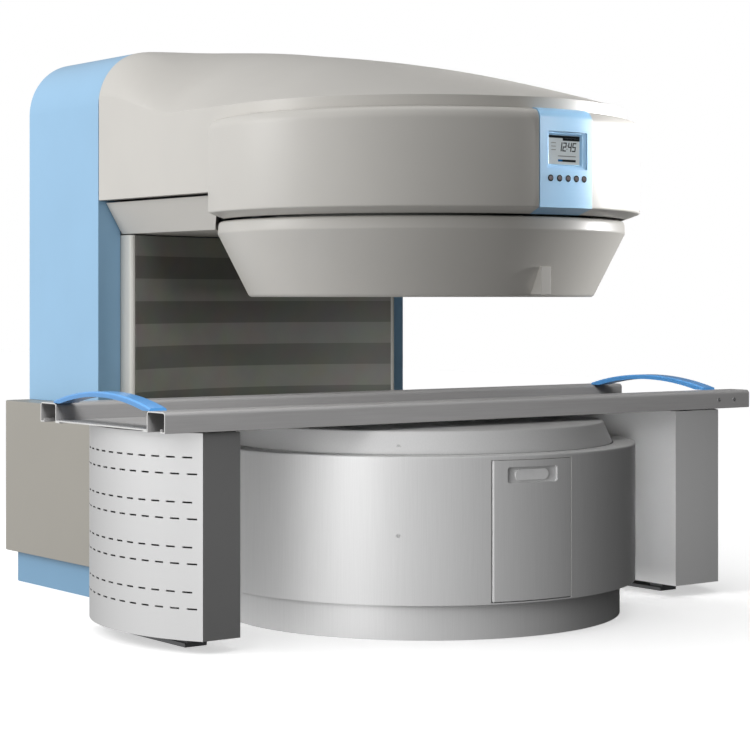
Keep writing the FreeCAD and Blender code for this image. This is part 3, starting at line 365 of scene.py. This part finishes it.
def softened(node, name, look, width):
    """Stands for a CAD node: its shape with rounded edges and level, even shading.

    The width stays under half the cover's wall, or the two roundings of a rim meet.
    """
    thing = draft(name, merged_copy(node))
    bevel = thing.modifiers.new("edge", "BEVEL")
    bevel.width = width
    bevel.segments = 2
    bevel.limit_method = "ANGLE"
    bevel.angle_limit = math.radians(ROUNDED_FROM)
    thing.data = evaluated_mesh(thing)
    thing.modifiers.clear()
    smooth_by_angle(thing.data, SMOOTH_UP_TO)
    flat = thing.modifiers.new("flat", "WEIGHTED_NORMAL")
    flat.mode = "FACE_AREA"
    flat.keep_sharp = True
    result = evaluated_mesh(thing)
    bpy.data.objects.remove(thing)
    return new_piece(name, result, node=node, look=look)


def smooth_by_angle(mesh, degrees):
    """Smooth faces, with the edges sharper than the angle kept sharp."""
    mesh.shade_smooth()
    work = bmesh.new()
    work.from_mesh(mesh)
    limit = math.radians(degrees)
    for edge in work.edges:
        edge.smooth = len(edge.link_faces) == 2 and edge.calc_face_angle(0.0) < limit
    work.to_mesh(mesh)
    work.free()


def paint(node, look):
    """Gives a CAD node that keeps its shape a finish."""
    mesh = frame["nodes"][node].data
    mesh.materials.clear()
    mesh.materials.append(finish(look))


def mesh_from(name, points, faces):
    mesh = bpy.data.meshes.new(name)
    mesh.from_pydata(points, [], faces)
    mesh.update()
    return mesh


def rounded_outline(corners):
    """Points of a closed outline in (radius, height); each corner is (r, z, rounding)."""
    out = []
    count = len(corners)
    for i, (r, z, rounding) in enumerate(corners):
        here = Vector((r, z))
        before = Vector(corners[i - 1][:2]) - here
        after = Vector(corners[(i + 1) % count][:2]) - here
        reach = min(rounding, 0.45 * before.length, 0.45 * after.length)
        if reach < 1e-5:
            out.append(here)
            continue
        a = here + before.normalized() * reach
        b = here + after.normalized() * reach
        for k in range(CORNER_STEPS + 1):
            t = k / CORNER_STEPS
            out.append(a * (1 - t) ** 2 + here * 2 * t * (1 - t) + b * t ** 2)
    return out


def lathed(corners, start=0.0, sweep=360.0):
    """Points and faces of an outline turned round the pole axis; angles in degrees."""
    outline = rounded_outline(corners)
    closed = sweep > 359.9
    turns = max(2, round(sweep / LATHE_STEP))
    rings = turns if closed else turns + 1
    points = []
    for i in range(rings):
        angle = math.radians(start + sweep * i / turns)
        points += [(p.x * math.cos(angle), p.x * math.sin(angle), p.y) for p in outline]
    count = len(outline)
    faces = []
    for i in range(turns):
        a, b = i * count, (i + 1) % rings * count
        for k in range(count):
            n = (k + 1) % count
            faces.append((a + k, b + k, b + n, a + n))
    if not closed:
        faces.append(tuple(range(count)))
        faces.append(tuple(reversed(range(turns * count, (turns + 1) * count))))
    return points, faces


def joined_mesh(name, shapes):
    """One mesh of several (points, faces) shapes, with all faces turned outwards."""
    points, faces = [], []
    for more_points, more_faces in shapes:
        start = len(points)
        points += more_points
        faces += [tuple(start + i for i in face) for face in more_faces]
    mesh = mesh_from(name, points, faces)
    work = bmesh.new()
    work.from_mesh(mesh)
    bmesh.ops.remove_doubles(work, verts=work.verts, dist=1e-6)
    bmesh.ops.recalc_face_normals(work, faces=work.faces)
    work.to_mesh(mesh)
    work.free()
    return mesh


def turned_piece(node, name, look, shapes):
    """Stands for a CAD node: parts turned round the pole axis."""
    mesh = joined_mesh(name, shapes)
    smooth_by_angle(mesh, SMOOTH_UP_TO)
    return new_piece(name, mesh, node=node, look=look)


def round_shading(mesh, radius, centre_x=0.0):
    """Exact normals for the faces that lie on an upright cylinder, within 1.2 mm."""
    normals = [Vector(corner.vector) for corner in mesh.corner_normals]
    for polygon in mesh.polygons:
        if abs(polygon.normal.z) > 0.03:
            continue
        for corner in polygon.loop_indices:
            point = mesh.vertices[mesh.loops[corner].vertex_index].co
            away = Vector((point.x - centre_x, point.y, 0.0))
            if abs(away.length - radius) > 1.2 * MM:
                break
            away.normalize()
            facing = away.dot(polygon.normal)
            if abs(facing) < 0.985:
                break
            normals[corner] = away if facing > 0 else -away
    mesh.normals_split_custom_set([tuple(normal) for normal in normals])


def two_finishes(piece, look, chosen):
    """Gives the faces picked by chosen(polygon) a second finish."""
    mesh = piece.data
    mesh.materials.append(finish(look))
    for polygon in mesh.polygons:
        if chosen(polygon):
            polygon.material_index = 1


def faces_along(polygon):
    """Whether the face looks along the table, as a sawn end does."""
    return abs(polygon.normal.x) > 0.9


def joined_boxes(name, boxes):
    """One mesh of separate boxes, each given by its lowest and highest corners."""
    points, faces = [], []
    for low, high in boxes:
        start = len(points)
        points += [(x, y, z) for x in (low[0], high[0]) for y in (low[1], high[1])
                   for z in (low[2], high[2])]
        faces += [tuple(start + i for i in face) for face in
                  ((0, 1, 3, 2), (4, 6, 7, 5), (0, 4, 5, 1), (2, 3, 7, 6), (0, 2, 6, 4),
                   (1, 5, 7, 3))]
    return mesh_from(name, points, faces)


# ---- geometry nodes ---------------------------------------------------------
def new_tree(name, inputs):
    """A geometry tree with inputs of the given types; returns it with its two end nodes."""
    tree = bpy.data.node_groups.new(name, "GeometryNodeTree")
    tree.interface.new_socket("Geometry", in_out="INPUT", socket_type="NodeSocketGeometry")
    for label, kind in inputs.items():
        tree.interface.new_socket(label, in_out="INPUT", socket_type=kind)
    tree.interface.new_socket("Geometry", in_out="OUTPUT", socket_type="NodeSocketGeometry")
    return tree, add(tree, "NodeGroupInput"), add(tree, "NodeGroupOutput")


def close_tree(tree, last, output, end, source):
    """Every tree ends in Realize Instances and Set Material."""
    real = add(tree, "GeometryNodeRealizeInstances", None, {"Geometry": (last, output)})
    done = add(tree, "GeometryNodeSetMaterial", None,
               {"Geometry": (real, "Geometry"), "Material": (source, "Material")})
    tree.links.new(done.outputs["Geometry"], end.inputs["Geometry"])


def grown(name, base_mesh, tree, values):
    """Runs a tree on a base mesh and returns the plain mesh that it makes."""
    thing = draft(name, base_mesh)
    modifier = thing.modifiers.new("grow", "NODES")
    modifier.node_group = tree
    for item in tree.interface.items_tree:
        if item.in_out == "INPUT" and item.name in values:
            modifier[item.identifier] = values[item.name]
    result = evaluated_mesh(thing)
    thing.modifiers.clear()
    bpy.data.objects.remove(thing)
    return result


def screw_tree():
    """A socket-head screw on every point of the base mesh, facing along the vector attribute."""
    tree, start, end = new_tree("screw_heads", {
        "Radius": "NodeSocketFloat", "Height": "NodeSocketFloat", "Material": "NodeSocketMaterial"})
    head = add(tree, "GeometryNodeMeshCylinder", {"Vertices": 20},
               {"Radius": (start, "Radius"), "Depth": (start, "Height")})
    narrow = add(tree, "ShaderNodeMath", {"operation": "MULTIPLY", 1: 0.45},
                 {0: (start, "Radius")})
    key = add(tree, "GeometryNodeMeshCylinder", {"Vertices": 6},
              {"Radius": (narrow, 0), "Depth": (start, "Height")})
    lift = add(tree, "ShaderNodeMath", {"operation": "MULTIPLY", 1: 0.35}, {0: (start, "Height")})
    offset = add(tree, "ShaderNodeCombineXYZ", None, {"Z": (lift, 0)})
    raised = add(tree, "GeometryNodeTransform", None,
                 {"Geometry": (key, "Mesh"), "Translation": (offset, "Vector")})
    bored = add(tree, "GeometryNodeMeshBoolean", {"operation": "DIFFERENCE"},
                {"Mesh 1": (head, "Mesh"), "Mesh 2": (raised, "Geometry")})
    facing = add(tree, "GeometryNodeInputNamedAttribute",
                 {"data_type": "FLOAT_VECTOR", "Name": "facing"})
    turn = add(tree, "FunctionNodeAlignRotationToVector", {"axis": "Z"},
               {"Vector": (facing, "Attribute")})
    heads = add(tree, "GeometryNodeInstanceOnPoints", None,
                {"Points": (start, "Geometry"), "Instance": (bored, "Mesh"),
                 "Rotation": (turn, "Rotation")})
    close_tree(tree, heads, "Instances", end, start)
    return tree


def screws(name, places, radius, height, look, body, node=None):
    """Screw heads at (point, facing) pairs, grown on a mesh of loose points."""
    mesh = mesh_from(name + "_points", [point for point, _ in places], [])
    facing = mesh.attributes.new("facing", "FLOAT_VECTOR", "POINT")
    facing.data.foreach_set("vector", [part for _, way in places for part in way])
    result = grown(name, mesh, bpy.data.node_groups.get("screw_heads") or screw_tree(),
                   {"Radius": radius, "Height": height, "Material": finish(look)})
    smooth_by_angle(result, SCREW_SMOOTH)
    return new_piece(name, result, node=node, body=body)


# ---- operators --------------------------------------------------------------
PIECES = []


def piece_operator(cls):
    """Keeps the operators in the order in which they are called."""
    PIECES.append(cls)
    return cls


# radii of the frame's upright curved faces, in metres
ROOF_NOSE = 0.674           # the arm's front, and half its width
BAND_OUTER = 0.720
CONTROL_FRONT = 0.722
PANEL_HOLLOW = 1.058
DRUM_OUTER, DRUM_INNER = 0.706, 0.702
# heights of the drum: under edge, its floor's top, doorway's top, wall's end
DRUM_LOW, DRUM_FLOOR, DOOR_TOP, WALL_TOP = 0.112, 0.116, 0.5447, 0.545
# outlines taken from the frame's own sections: (radius, height, rounding)
BAND = [(0.676, 1.605, 0.001), (0.676, 1.599, 0), (0.714, 1.575, 0), (0.714, 1.309, 0),
        (0.668, 1.290, 0), (0.668, 1.284, 0.002), (BAND_OUTER, 1.303, 0.005),
        (BAND_OUTER, 1.575, 0.012), (0.709, 1.5975, 0.014)]
POLE = [(0.632, 1.278, 0.001), (0.6700, 1.278, 0.012), (0.672, 1.239, 0.004),
        (0.571, 1.038, 0.004), (0.563, 1.032, 0.004), (0.0, 1.032, 0), (0.0, 1.038, 0),
        (0.560, 1.038, 0), (0.666, 1.241, 0), (0.666, 1.260, 0), (0.632, 1.272, 0)]
DRUM_WALL = [(DRUM_OUTER, WALL_TOP, 0), (DRUM_OUTER, DRUM_LOW, 0), (0.676, DRUM_LOW, 0),
             (0.676, DRUM_FLOOR, 0), (DRUM_INNER, DRUM_FLOOR, 0), (DRUM_INNER, WALL_TOP, 0)]
NECK_TOP = 0.44             # above it the wall goes on over the neck
NECK_WALL = [(DRUM_OUTER, WALL_TOP, 0), (DRUM_OUTER, NECK_TOP, 0), (DRUM_INNER, NECK_TOP, 0),
             (DRUM_INNER, WALL_TOP, 0)]
DOOR_SILL = [(DRUM_OUTER, DRUM_FLOOR, 0), (DRUM_OUTER, DRUM_LOW, 0), (0.676, DRUM_LOW, 0),
             (0.676, DRUM_FLOOR, 0)]
DRUM_RIM = [(0.634, 0.557, 0.001), (DRUM_OUTER, 0.557, 0.014), (DRUM_OUTER, 0.5449, 0),
            (DRUM_INNER, 0.5449, 0), (DRUM_INNER, 0.553, 0), (0.634, 0.553, 0)]
DISC = [(0.0, 0.626, 0), (0.601, 0.626, 0.006), (0.630, 0.557, 0.001), (0.624, 0.557, 0),
        (0.595, 0.620, 0), (0.0, 0.620, 0)]
SKIRT = [(0.655, 0.108, 0.002), (0.655, 0.0, 0), (0.649, 0.0, 0), (0.649, 0.108, 0.002)]
SEAL_INNER, SEAL_OUTER = 0.696, 0.7054
SEAL_SIDE = [(SEAL_INNER, 0.118, 0), (SEAL_OUTER, 0.118, 0), (SEAL_OUTER, 0.5445, 0),
             (SEAL_INNER, 0.5445, 0)]
SEAL_TOP = [(SEAL_INNER, 0.5433, 0), (SEAL_OUTER, 0.5433, 0), (SEAL_OUTER, DOOR_TOP, 0),
            (SEAL_INNER, DOOR_TOP, 0)]
# angles in degrees from +X, or from the panel's middle
CONTROL_EDGE = 8.609        # where the band halves meet the control panel
NECK_ANGLE = 43.9           # where the neck meets the drum
SKIRT_FROM, SKIRT_SWEEP = 138.4, 263.2
DOOR_FROM, DOOR_TO = -111.0, -87.6
SEAL_ANGLE = math.degrees(1.6 * MM / DRUM_OUTER)


@piece_operator
class SCANNER_OT_upper_covers(bpy.types.Operator):
    """Arm roof, band halves, pole cone and soffit."""

    bl_idname = "scanner.upper_covers"
    bl_label = "Upper covers"

    def execute(self, context):
        look, edge = "fibreglass_warm_grey", sizes().edge
        roof = softened("arm_cover", "arm_roof", look, edge)
        round_shading(roof.data, ROOF_NOSE)
        # the halves end where they meet the flat sides of the arm
        sweep = 90 - CONTROL_EDGE + math.degrees(math.acos((ROOF_NOSE + MM) / BAND_OUTER))
        turned_piece("right_band_cover", "band_right", look,
                     [lathed(BAND, -90 + CONTROL_EDGE, sweep)])
        turned_piece("left_band_cover", "band_left", look,
                     [lathed(BAND, -90 - CONTROL_EDGE - sweep, sweep)])
        turned_piece("upper_pole_cover", "pole_cone", look, [lathed(POLE)])
        softened("arm_soffit_cover", "arm_soffit", look, edge)
        return {"FINISHED"}


@piece_operator
class SCANNER_OT_column(bpy.types.Operator):
    """Blue column cover, striped panel and rear service panel."""

    bl_idname = "scanner.column"
    bl_label = "Column"

    def execute(self, context):
        setting = sizes()
        softened("rear_column_cover", "column_shell", "fibreglass_blue", setting.edge)
        panel = softened("column_front_panel", "column_panel", "banded_panel_paint", setting.edge)
        round_shading(panel.data, PANEL_HOLLOW)
        uprights = 0.562    # the uprights start this far from the middle
        # the uprights get a lighter paint, a painted highlight on their rounded edges
        two_finishes(panel, "upright_highlight_paint", lambda face: abs(face.center.x) > uprights)
        softened("rear_service_panel", "service_panel", "fibreglass_beige", setting.fine_edge)
        places = [((x, 1.474, z), (0, 1, 0)) for x in (-0.6, 0.6) for z in (0.72, 1.2, 1.62)]
        screws("service_panel_screws", places, setting.screw_radius, setting.screw_height,
               "zinc_plated_steel", "gantry")
        return {"FINISHED"}


@piece_operator
class SCANNER_OT_lower_covers(bpy.types.Operator):
    """Rear housing, plinths, drum, raised disc and access door."""

    bl_idname = "scanner.lower_covers"
    bl_label = "Lower covers"

    def execute(self, context):
        look, setting = "silver_lacquer", sizes()
        softened("lower_rear_housing", "rear_housing", "fibreglass_beige", setting.edge)
        # the plinth's darker blue is painted shade
        softened("base_plinth", "plinth_blue", "fibreglass_blue_painted_shade", setting.edge)
        turned_piece("lower_drum_cover", "drum_shell", look, [
            lathed(DRUM_RIM),
            lathed(DRUM_WALL, DOOR_TO, NECK_ANGLE - DOOR_TO),
            lathed(DRUM_WALL, 180 - NECK_ANGLE, 180 + NECK_ANGLE + DOOR_FROM),
            lathed(NECK_WALL, NECK_ANGLE, 180 - 2 * NECK_ANGLE),
            lathed(DOOR_SILL, DOOR_FROM, DOOR_TO - DOOR_FROM)])
        turned_piece("drum_plinth", "drum_skirt", look, [lathed(SKIRT, SKIRT_FROM, SKIRT_SWEEP)])
        turned_piece("lower_pole_cover", "drum_disc", look, [lathed(DISC)])
        leaf = softened("access_door", "door_leaf", look, setting.fine_edge)
        round_shading(leaf.data, DRUM_OUTER)
        softened("door_pull_insert", "door_pull", "white_abs", setting.fine_edge)
        # light seal round the doorway, narrower at the hinge, where the open leaf comes near
        mesh = joined_mesh("door_seal", [lathed(SEAL_SIDE, DOOR_FROM, SEAL_ANGLE / 2),
                                         lathed(SEAL_SIDE, DOOR_TO - SEAL_ANGLE, SEAL_ANGLE),
                                         lathed(SEAL_TOP, DOOR_FROM, DOOR_TO - DOOR_FROM)])
        smooth_by_angle(mesh, SEAL_SMOOTH)
        new_piece("door_seal", mesh, body="gantry", look="seal_rubber")
        # plugs over the jacking points, one on the disc's slope and one on the drum's wall
        caps = []
        for x, y, radius, z in ((-0.4325, -0.4395, 0.6195, 0.581),
                                (-0.4883, -0.5096, DRUM_OUTER, 0.320)):
            out = Vector((x, y, 0)).normalized()
            caps.append(((out.x * radius, out.y * radius, z), (out.x, out.y, 0)))
        screws("drum_plugs", caps, 6 * MM, 3 * MM, "white_abs", "gantry")
        return {"FINISHED"}


PEDESTAL_HALF_DEPTH, PEDESTAL_BULGE, PEDESTAL_OUTER_X = 0.332, 0.095, 1.157


@piece_operator
class SCANNER_OT_pedestals(bpy.types.Operator):
    """Sheet-metal pedestals and their frames."""

    bl_idname = "scanner.pedestals"
    bl_label = "Pedestals"

    def execute(self, context):
        radius = (PEDESTAL_HALF_DEPTH ** 2 + PEDESTAL_BULGE ** 2) / (2 * PEDESTAL_BULGE)
        for side, sign in (("left", -1), ("right", 1)):
            mesh = merged_copy(side + "_pedestal_cover")
            smooth_by_angle(mesh, SHEET_SMOOTH)
            round_shading(mesh, radius, sign * (PEDESTAL_OUTER_X - radius))
            new_piece(side + "_pedestal_shell", mesh, node=side + "_pedestal_cover",
                      look="brushed_sheet")
            paint(side + "_pedestal_frame", "frame_enamel")
        return {"FINISHED"}


@piece_operator
class SCANNER_OT_table(bpy.types.Operator):
    """Rails, tray, handles and rollers of the patient table."""

    bl_idname = "scanner.table"
    bl_label = "Patient table"

    def execute(self, context):
        setting = sizes()
        for side in ("front", "rear"):
            rail = softened(side + "_side_rail", side + "_rail", "anodised_aluminium",
                            setting.fine_edge)
            two_finishes(rail, "sawn_aluminium", faces_along)
            paint(side + "_guide_rail", "anodised_aluminium")
            for end in ("left", "right"):
                paint("%s_%s_roller" % (side, end), "nylon")
        tray = softened("tabletop_tray", "tray", "anodised_aluminium", 0.2 * MM)
        two_finishes(tray, "sawn_aluminium", faces_along)
        for side in ("left", "right"):
            softened(side + "_handle", side + "_grip", "handle_lacquer", 2 * setting.fine_edge)
        paint("roller_axles", "zinc_plated_steel")
        places = [((x, side * 0.3712, 0.6755), (0, side, 0))
                  for x in (1.025, 1.101) for side in (-1, 1)]
        screws("handle_fixings", places, setting.screw_radius, 2 * setting.screw_height,
               "zinc_plated_steel", "tabletop", node="handle_screws")
        return {"FINISHED"}


# a seven-segment figure on a grid of one by two cells: each bar's two ends
SEGMENTS = {"a": (0, 2, 1, 2), "b": (1, 1, 1, 2), "c": (1, 0, 1, 1), "d": (0, 0, 1, 0),
            "e": (0, 0, 0, 1), "f": (0, 1, 0, 2), "g": (0, 1, 1, 1)}
DIGITS = {"1": "bc", "2": "abged", "4": "fgbc", "5": "afgcd"}
FIGURE_X, FIGURE_Z, FIGURE_PITCH = -0.027, 1.4765, 0.0175
FIGURE_WIDTH, FIGURE_HEIGHT, STROKE = 0.0105, 0.024, 0.0034
COLON_GAP, SLANT = 0.004, 0.16
INK_FRONT, INK_BACK = -0.7086, -0.7079      # Y of the marks' faces
# marks on the display as (x from, z from, x to, z to)
TITLE_MARKS = [(-0.0672, 1.5150, 0.0592, 1.5225), (-0.0094, 1.5075, 0.0592, 1.5148),
               (-0.0110, 1.4434, 0.0434, 1.4502)]
LEVEL_MARKS = [(-0.0287, 1.4434, -0.0113, 1.4502)]
LINE_MARKS = [(-0.0287, 1.4593, 0.0434, 1.4618), (-0.0560, 1.4990, -0.0380, 1.5010),
              (-0.0560, 1.4885, -0.0380, 1.4905), (-0.0560, 1.4780, -0.0380, 1.4800)]
COLON_MARKS = [(0.0055, 1.481, 0.0080, 1.4835), (0.0055, 1.491, 0.0080, 1.4935)]


def figure_marks(digit, x):
    """The bars of one figure, with its lower left corner at x."""
    marks = []
    for key in DIGITS[digit]:
        ax, az, bx, bz = SEGMENTS[key]
        marks.append((x + ax * FIGURE_WIDTH - STROKE / 2,
                      FIGURE_Z + az * FIGURE_HEIGHT / 2 - STROKE / 2,
                      x + bx * FIGURE_WIDTH + STROKE / 2,
                      FIGURE_Z + bz * FIGURE_HEIGHT / 2 + STROKE / 2))
    return marks


def display_marks(name, marks, look, slant=0.0):
    """Printed or lit marks on the display's face; slant leans them to the right."""
    mesh = joined_boxes(name, [((x0, INK_FRONT, z0), (x1, INK_BACK, z1))
                               for x0, z0, x1, z1 in marks])
    low = min(vertex.co.z for vertex in mesh.vertices)
    for vertex in mesh.vertices:
        vertex.co.x += slant * (vertex.co.z - low)
    new_piece(name, mesh, body="gantry", look=look)


@piece_operator
class SCANNER_OT_controls(bpy.types.Operator):
    """Control panel, display, buttons and positioning light."""

    bl_idname = "scanner.controls"
    bl_label = "Controls"

    def execute(self, context):
        fine = sizes().fine_edge
        front = softened("control_panel", "control_front", "fibreglass_blue", fine)
        round_shading(front.data, CONTROL_FRONT)
        softened("display_bezel", "display_frame", "fibreglass_blue", fine)
        paint("display_screen", "display_ground")
        display_marks("display_title", TITLE_MARKS, "display_ink")
        display_marks("display_level", LEVEL_MARKS, "display_bar")
        display_marks("display_lines", LINE_MARKS, "display_pale")
        figures = []
        for i, digit in enumerate("1245"):
            gap = COLON_GAP if i > 1 else 0
            figures += figure_marks(digit, FIGURE_X + FIGURE_PITCH * i + gap)
        display_marks("display_clock", figures + COLON_MARKS, "display_ink", SLANT)
        for number in range(1, 6):
            paint("button_%d" % number, "button_abs")
        paint("button_rings", "dark_abs")
        paint("control_board", "circuit_lacquer")
        softened("positioning_light_housing", "light_housing", "fibreglass_warm_grey", fine)
        paint("positioning_light_lens", "dark_abs")
        return {"FINISHED"}


@piece_operator
class SCANNER_OT_magnet(bpy.types.Operator):
    """Finishes of the magnet, coils and fasteners inside the covers."""

    bl_idname = "scanner.magnet"
    bl_label = "Magnet"

    def execute(self, context):
        for node in ("upper_yoke", "lower_yoke", "rear_yoke_column", "floor_plate",
                     "upper_pole_shoe", "lower_pole_shoe"):
            paint(node, "primed_steel")
        for side in ("upper", "lower"):
            paint(side + "_magnet_disc", "nickel_plate")
            paint(side + "_gradient_coil", "cast_resin")
            paint(side + "_rf_coil", "cast_resin")
        for node in ("yoke_bolts", "levelling_feet", "door_pivot_pins"):
            paint(node, "zinc_plated_steel")
        paint("cable_gland", "dark_abs")
        return {"FINISHED"}


# ---- stage ------------------------------------------------------------------
FLOOR_BOX = ((-14, -9, -0.02), (14, 30, 0.0))
FLOOR_GLOW = 0.52
SKY_TOWARDS = (-0.85, 0.38, 0.42)   # the side the soft light comes from
SKY_LEVELS = (-0.55, 0.0, 0.92)     # where it starts, its far side, its near side
PEDESTAL_PIECES = ("left_pedestal_shell", "right_pedestal_shell")
PANEL_PIECES = ("control_front", "display_frame")
# name, place, target, size, power in watts, spread in degrees, and the pieces it lights alone
LAMPS = [
    ("key", (-4.3, 2.2, 2.5), (-0.5, 0.5, 0.9), 2.2, 62, 180, ()),
    ("top", (0.2, -0.2, 5.0), (0.0, 0.3, 0.0), 3.5, 22, 180, ()),
    ("drum", (-3.4, -1.3, 0.72), (0.0, 0.0, 0.25), 1.2, 5.4, 60,
     ("drum_shell", "drum_skirt", "drum_disc", "door_leaf", "door_pull", "door_seal")),
    ("table", (-2.4, -3.6, 4.2), (0.0, 0.0, 0.6), 2.0, 330, 180,
     ("front_rail", "rear_rail", "tray", "left_grip", "right_grip", "handle_fixings")),
    ("sheet", (-3.6, -3.2, 1.4), (0.0, 0.0, 0.4), 2.0, 120, 180, PEDESTAL_PIECES),
    ("inner", (-1.4, -2.6, 0.5), (0.86, -0.3, 0.32), 0.3, 26, 60, PEDESTAL_PIECES[1:]),
    ("stripes", (-1.2, -3.6, 1.3), (0.0, 1.0, 0.9), 1.0, 62, 180, ("column_panel",)),
    ("panel", (1.4, -3.6, 2.2), (0.0, -0.7, 1.5), 0.8, 42, 180, PANEL_PIECES),
    ("side", (3.1, -1.35, 1.80), (0.55, -0.42, 1.60), 0.5, 11, 40,
     ("band_left", "band_right", "arm_roof", *PANEL_PIECES)),
    ("side_low", (3.1, -1.35, 1.40), (0.55, -0.42, 1.15), 0.5, 11, 60,
     ("pole_cone", "light_housing")),
]
UNSHADED = ("drum", "table")        # nothing else throws a shadow in these lamps' light
CAMERA_AZIMUTH = math.radians(37.0)
CAMERA_PLACE = (-4.26, -5.40, 1.032)
CAMERA_LENS = 99.5
CAMERA_SHIFT_DOWN = 0.104


@piece_operator
class SCANNER_OT_stage(bpy.types.Operator):
    """Floor, lights and camera."""

    bl_idname = "scanner.stage"
    bl_label = "Stage"

    def execute(self, context):
        scene = context.scene
        floor = bpy.data.objects.new("studio_floor", joined_boxes("studio_floor", [FLOOR_BOX]))
        scene.collection.objects.link(floor)
        material, _, shader, _ = new_material("studio_floor_paint")
        set_inputs(shader, {"Base Color": linear(colours().floor), "Roughness": 0.9,
                            "Specular IOR Level": 0.0, "Emission Color": (1, 1, 1, 1),
                            "Emission Strength": FLOOR_GLOW})
        floor.data.materials.append(material)
        floor.visible_diffuse = False
        floor.visible_glossy = False
        scene.world = studio_world()
        for lamp in LAMPS:
            light(*lamp)
        scene.view_settings.view_transform = "Standard"
        scene.camera = studio_camera()
        return {"FINISHED"}


def studio_world():
    """Soft light that grows from one side to the other; plain white to the camera."""
    world = bpy.data.worlds.new("studio_world")
    world.use_nodes = True
    tree = world.node_tree
    place = add(tree, "ShaderNodeTexCoord")
    aim = Vector(SKY_TOWARDS).normalized()
    share = add(tree, "ShaderNodeVectorMath", {"operation": "DOT_PRODUCT", 1: tuple(aim)},
                {0: (place, "Generated")})
    level = add(tree, "ShaderNodeMapRange", {"From Min": SKY_LEVELS[0], "From Max": 1.0,
                                             "To Min": SKY_LEVELS[1], "To Max": SKY_LEVELS[2]},
                {"Value": (share, "Value")})
    path = add(tree, "ShaderNodeLightPath")
    seen = add(tree, "ShaderNodeMath", {"operation": "MAXIMUM"},
               {0: (level, "Result"), 1: (path, "Is Camera Ray")})
    background = tree.nodes["Background"]
    background.inputs["Color"].default_value = (1, 1, 1, 1)
    tree.links.new(seen.outputs[0], background.inputs["Strength"])
    return world


def placed(name, data, place, ahead):
    """Links a lamp or a camera at a place, looking ahead."""
    thing = bpy.data.objects.new(name, data)
    thing.location = place
    thing.rotation_euler = ahead.to_track_quat("-Z", "Y").to_euler()
    bpy.context.scene.collection.objects.link(thing)
    return thing


def light(name, place, target, size, power, spread, only):
    lamp = bpy.data.lights.new(name, "AREA")
    lamp.size = size
    lamp.energy = power
    lamp.spread = math.radians(spread)
    linking = placed(name, lamp, place, Vector(target) - Vector(place)).light_linking
    if only:
        group = bpy.data.collections.new(name + "_receivers")
        for piece in only:
            group.objects.link(bpy.data.objects[piece])
        linking.receiver_collection = group
        if name in UNSHADED:
            linking.blocker_collection = group


def studio_camera():
    data = bpy.data.cameras.new("camera")
    data.lens = CAMERA_LENS
    data.sensor_width = 36.0
    data.shift_y = -CAMERA_SHIFT_DOWN
    ahead = Vector((math.sin(CAMERA_AZIMUTH), math.cos(CAMERA_AZIMUTH), 0.0))
    return placed("camera", data, CAMERA_PLACE, ahead)


# ---- panel and registration -------------------------------------------------
class SCANNER_PT_sidebar(bpy.types.Panel):
    """Lists the scanner's operators and settings."""

    bl_label = "Scanner"
    bl_idname = "SCANNER_PT_sidebar"
    bl_space_type = "VIEW_3D"
    bl_region_type = "UI"
    bl_category = "Scanner"

    def draw(self, context):
        for cls in PIECES:
            self.layout.operator(cls.bl_idname)
        for group in (context.scene.scanner_colours, context.scene.scanner_sizes):
            for key in group.__annotations__:
                self.layout.prop(group, key)


CLASSES = [ScannerColours, ScannerSizes, *PIECES, SCANNER_PT_sidebar]


def register():
    for cls in CLASSES:
        bpy.utils.register_class(cls)
    bpy.types.Scene.scanner_colours = bpy.props.PointerProperty(type=ScannerColours)
    bpy.types.Scene.scanner_sizes = bpy.props.PointerProperty(type=ScannerSizes)


def unregister():
    del bpy.types.Scene.scanner_sizes
    del bpy.types.Scene.scanner_colours
    for cls in reversed(CLASSES):
        bpy.utils.unregister_class(cls)


def main():
    register()
    for cls in PIECES:
        group, name = cls.bl_idname.split(".")
        getattr(getattr(bpy.ops, group), name)()


if __name__ == "__main__":
    main()
